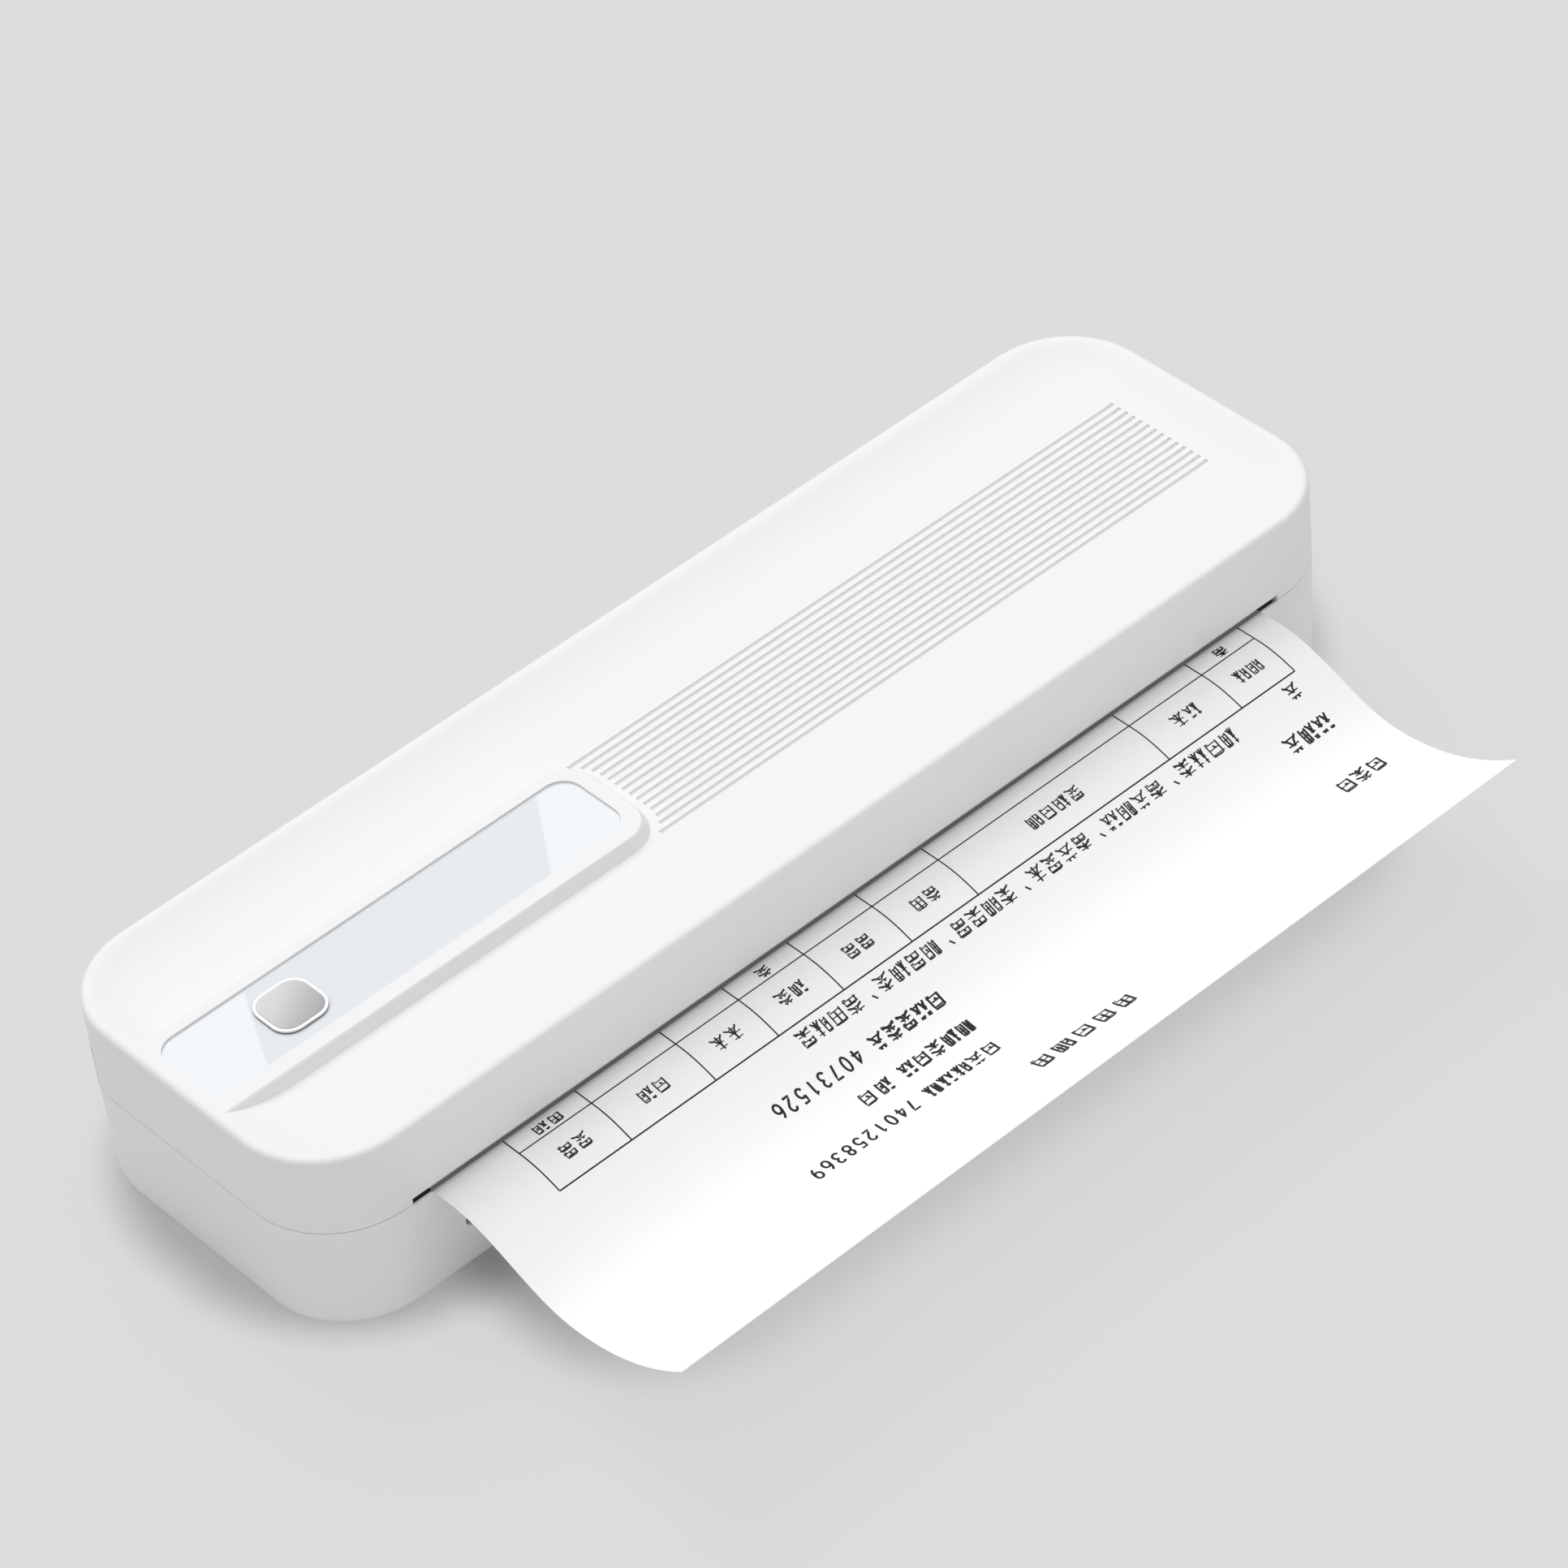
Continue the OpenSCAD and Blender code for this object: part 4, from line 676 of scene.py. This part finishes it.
def swept(path, section):
    # carries a closed section, given across and over, along a path; the section turns as little
    # as it can
    path = np.asarray(path, float)
    section = np.asarray(section, float)
    d = np.gradient(path, axis=0)
    d /= np.linalg.norm(d, axis=1, keepdims=True)
    side = np.cross(d[0], [0.3, 0.2, 1.0]) if abs(d[0][0]) > 0.5 else np.array([1.0, 0, 0])
    verts = []
    for p, t in zip(path, d):
        side = side - t * (side @ t)
        side /= np.linalg.norm(side)
        over = np.cross(t, side)
        verts.append(p + section[:, :1] * side + section[:, 1:] * over)
    verts = np.concatenate(verts)
    n, k = len(section), len(path)
    i, j = np.meshgrid(np.arange(n), np.arange(k - 1), indexing="xy")
    i2 = (i + 1) % n
    quads = np.stack([j * n + i, j * n + i2, (j + 1) * n + i2, (j + 1) * n + i], -1)
    ends = [tuple(range(n - 1, -1, -1)), tuple(range((k - 1) * n, k * n))]
    return verts, quads.reshape(-1, 4).tolist() + ends


def sweep(name, path, section):
    verts, faces = swept(path, section)
    return meshObj(name, verts * mm, faces)


def disc(r, n=12):
    # a circle as the section of a wire
    a = np.linspace(0, 2 * math.pi, n, endpoint=False)
    return np.stack([r * np.cos(a), r * np.sin(a)], -1)


cable = dict(x=25.7, half=3.8, film=0.11, across=9, stripes=318.0, rough=0.35, bump=0.3,
             depth=0.00006, copper=(0.62, 0.6, 0.55), white=(0.86, 0.86, 0.84), splitAngle=50.0,
             line=((-21.9, 10.4), (-20.6, 10.3), (-19.6, 8.5), (-19.4, 5.0), (-17.2, 2.6),
                   (-14.0, 2.3), (0.0, 2.3), (20.0, 2.3), (31.0, 2.4), (35.0, 5.5),
                   (35.5, 12.0), (35.5, 24.0), (35.3, 30.0), (33.6, 34.4), (29.0, 36.6),
                   (20.0, 37.1), (8.0, 37.1), (0.0, 37.0), (-3.2, 35.4), (-3.8, 32.6),
                   (-5.6, 30.9), (-11.4, 30.0)))


def cableMat():
    # white film over flat copper strips, seen as fine dark bands across X
    c = cable
    mat, nt, bsdf = newMat("flatCable")
    wave = nt.nodes.new("ShaderNodeTexWave")
    wave.bands_direction = "X"
    wave.inputs["Scale"].default_value = c["stripes"]
    link(nt, objCoords(nt), wave.inputs["Vector"])
    link(nt, mixCol(nt, wave.outputs["Fac"], c["copper"], c["white"]), bsdf.inputs["Base Color"])
    bsdf.inputs["Roughness"].default_value = c["rough"]
    bumpOn(nt, bsdf, wave.outputs["Fac"], c["bump"], c["depth"])
    return mat


def makeFlatCable():
    # from the board, under the cell and the cradle, up behind the roll and over it to the
    # head's rear edge
    c = cable
    across = np.linspace(-c["half"], c["half"], c["across"])
    film = np.full(c["across"], c["film"])
    section = np.concatenate([np.stack([across, -film], -1), np.stack([across[::-1], film], -1)])
    ob = sweep("flatCable", rounded([(c["x"], y, z) for y, z in c["line"]]), section)
    smoothSplit(ob, c["splitAngle"])
    setMat(ob, cableMat())
    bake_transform(ob)


leads = dict(x=-90.0, r=0.34, gap=0.95, splitAngle=60.0,
             line=((3.9, 33.4), (3.9, 32.3), (6.0, 34.8), (10.0, 36.6), (20.0, 36.9),
                   (29.0, 36.2), (33.6, 34.0), (35.3, 30.0), (35.5, 24.0), (35.5, 12.0),
                   (35.0, 5.0), (31.0, 2.4), (10.0, 2.38), (-14.0, 2.38), (-18.0, 3.2),
                   (-19.4, 6.5), (-19.6, 9.6), (-21.2, 10.3)))


def makeLeads():
    # two thin leads from the button's board, over the roll and down behind it to a plug on the
    # main board
    c = leads
    for k, name in enumerate(("leadRed", "leadBlack")):
        x = c["x"] + (k - 0.5) * c["gap"]
        ob = sweep(name, rounded([(x, y, z) for y, z in c["line"]]), disc(c["r"]))
        smoothSplit(ob, c["splitAngle"])
        setMat(ob, mats[name])
        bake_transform(ob)


plug = dict(half=1.9, y=-22.4, z=10.3, across=1.3, over=0.95, bevel=0.00015, segments=2)


def makePlug():
    # where the leads end on the main board: a block along a short line, with softened edges
    p = plug
    w, h = p["across"], p["over"]
    ob = sweep("leadPlug", [(leads["x"] + s * p["half"], p["y"], p["z"]) for s in (-1, 0, 1)],
               [(-w, -h), (w, -h), (w, h), (-w, h)])
    bevel = ob.modifiers.new("edges", "BEVEL")
    bevel.width = p["bevel"]
    bevel.segments = p["segments"]
    setMat(ob, mats["bushPlastic"])
    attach(ob, "base")


leaf = dict(xs=(-77.616, -25.872, 25.872, 77.616), half=4.5, thin=0.2, edge=0.35, across=5,
            line=((-12, 34.05), (-17.5, 34.05), (-20, 33.3), (-23.5, 30.7), (-24.8, 29.95),
                  (-26.4, 30.05), (-27.8, 30.9)),
            bendFrom=(0, -0.0176, 0.034), bendTo=(0, -0.0236, 0.034), splitAngle=40.0)


def makeLeaves():
    # four leaf springs: clamped under the cover's beam, their free ends reach down to the head
    c = leaf
    side = np.linspace(-c["half"] + c["edge"], c["half"] - c["edge"], c["across"])
    thin = np.full(c["across"], c["thin"])
    section = np.concatenate([np.stack([side, -thin], -1), [(c["half"], 0)],
                              np.stack([side[::-1], thin], -1), [(-c["half"], 0)]])
    verts, faces = [], []
    for x in c["xs"]:
        v, f = swept(rounded([(x, y, z) for y, z in c["line"]]), section)
        base = len(verts) * len(v)
        faces += [tuple(base + i for i in q) for q in f]
        verts.append(v)
    ob = meshObj("leafSprings", np.concatenate(verts) * mm, faces)
    smoothSplit(ob, c["splitAngle"])
    setMat(ob, mats["steel"])
    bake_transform(ob)
    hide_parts("head_springs")


head = dict(platenY=-27.0, platenZ=18.9, tilt=14.0, face=5.28, half=104.0, sunk=0.02,
            splitAngle=40.0,
            # piece, from and to along the head's face, height, steps across, material
            strips=(("heaterLine", -0.3, 0.5, 0.03, 5, "platenRubber"),
                    ("driverBead", 5.2, 8.2, 0.2, 11, "sensorPlastic")))


def onHead(y, z):
    # from the head's own sloping plane to the row frame
    a = math.radians(head["tilt"])
    return (head["platenY"] + y * math.cos(a) - z * math.sin(a),
            head["platenZ"] + y * math.sin(a) + z * math.cos(a))


def makeStrip(name, y0, y1, height, steps, look):
    # low bead under the ceramic: its depth follows half an ellipse from edge to edge
    h = head
    n = steps
    a = np.linspace(0, math.pi, n)
    y, z = onHead(y0 + (y1 - y0) * (1 - np.cos(a)) / 2,
                  h["face"] + h["sunk"] - (height + h["sunk"]) * np.sin(a))
    verts = np.concatenate([np.stack([np.full(n, x), y, z], -1) for x in (-h["half"], h["half"])])
    i = np.arange(n)
    i2 = (i + 1) % n
    faces = np.stack([i, i2, n + i2, n + i], -1).tolist()
    faces += [tuple(range(n - 1, -1, -1)), tuple(range(n, 2 * n))]
    ob = meshObj(name, verts * mm, faces)
    smoothSplit(ob, h["splitAngle"])
    setMat(ob, mats[look])
    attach(ob, "head")


makeFlatCable()
makeLeads()
makePlug()
makeLeaves()
for strip in head["strips"]:
    makeStrip(*strip)
print("leads and head details in place")

card = dict(corners=((0.4299, 0.8954), (0.3962, 0.8294), (0.5423, 0.8294), (0.5861, 0.8954)),
            height=1.0, colour=(0.12, 0.2, 0.3, 1), strength=0.5)


def makeCard():
    # studio card that only mirrors see: it darkens a slanting band of the glossy insert
    ob = meshObj("studioCard", [(x, y, card["height"]) for x, y in card["corners"]],
                 [(0, 1, 2, 3)], False)
    mat, nt, bsdf = newMat("cardBlue")
    bsdf.inputs["Base Color"].default_value = (0, 0, 0, 1)
    bsdf.inputs["Emission Color"].default_value = card["colour"]
    bsdf.inputs["Emission Strength"].default_value = card["strength"]
    setMat(ob, mat)
    ob.visible_camera = False
    ob.visible_diffuse = False
    ob.visible_shadow = False
    ob.visible_transmission = False


dome = dict(zenith=0.98, horizon=0.16, colour=(0.995, 0.998, 1.0, 1))


def makeWorld():
    # dome light that grows with the ray's height, from the horizon's level up
    world = bpy.data.worlds.new("studio")
    bpy.context.scene.world = world
    world.use_nodes = True
    nt = world.node_tree
    bg = nt.nodes["Background"]
    tc = nt.nodes.new("ShaderNodeTexCoord")
    up = mathNode(nt, "MAXIMUM", axisOf(nt, tc.outputs["Generated"], "Z"), 0.0)
    level = mathNode(nt, "MULTIPLY_ADD", up, dome["zenith"], dome["horizon"])
    bg.inputs["Color"].default_value = dome["colour"]
    link(nt, level, bg.inputs["Strength"])


lamp = dict(place=(0.5, 1.6, 2.1), size=1.3, power=22)


def makeLamp():
    # one large soft lamp, behind the printer and to the right
    data = bpy.data.lights.new("softbox", "AREA")
    data.energy = lamp["power"]
    data.size = lamp["size"]
    ob = bpy.data.objects.new("softbox", data)
    place = Vector(lamp["place"])
    ob.location = place
    ob.rotation_euler = (-place).to_track_quat("-Z", "Y").to_euler()
    ob.visible_glossy = False
    bpy.context.scene.collection.objects.link(ob)


# fitted to the casing's outline, the parting line and the sheet's edges in the photograph
shot = dict(lens=147.95, sensor=36, near=0.05, far=20, right=(0.73431, -0.67338, -0.08575),
            down=(-0.50197, -0.45361, -0.73638), ahead=(0.45697, 0.58378, -0.67111),
            place=(-0.546167, -0.716753, 0.840148))


def makeCamera():
    cam = bpy.data.cameras.new("view")
    cam.lens = shot["lens"]
    cam.sensor_width = shot["sensor"]
    cam.clip_start = shot["near"]
    cam.clip_end = shot["far"]
    ob = bpy.data.objects.new("view", cam)
    right, down, ahead = (Vector(shot[k]) for k in ("right", "down", "ahead"))
    m = Matrix((right, -down, -ahead)).transposed().to_4x4()
    m.translation = Vector(shot["place"])
    ob.matrix_world = m
    bpy.context.scene.collection.objects.link(ob)
    bpy.context.scene.camera = ob


makeCard()
makeWorld()
makeLamp()
makeCamera()
bpy.context.scene.view_settings.view_transform = "Standard"
print("camera and light set")
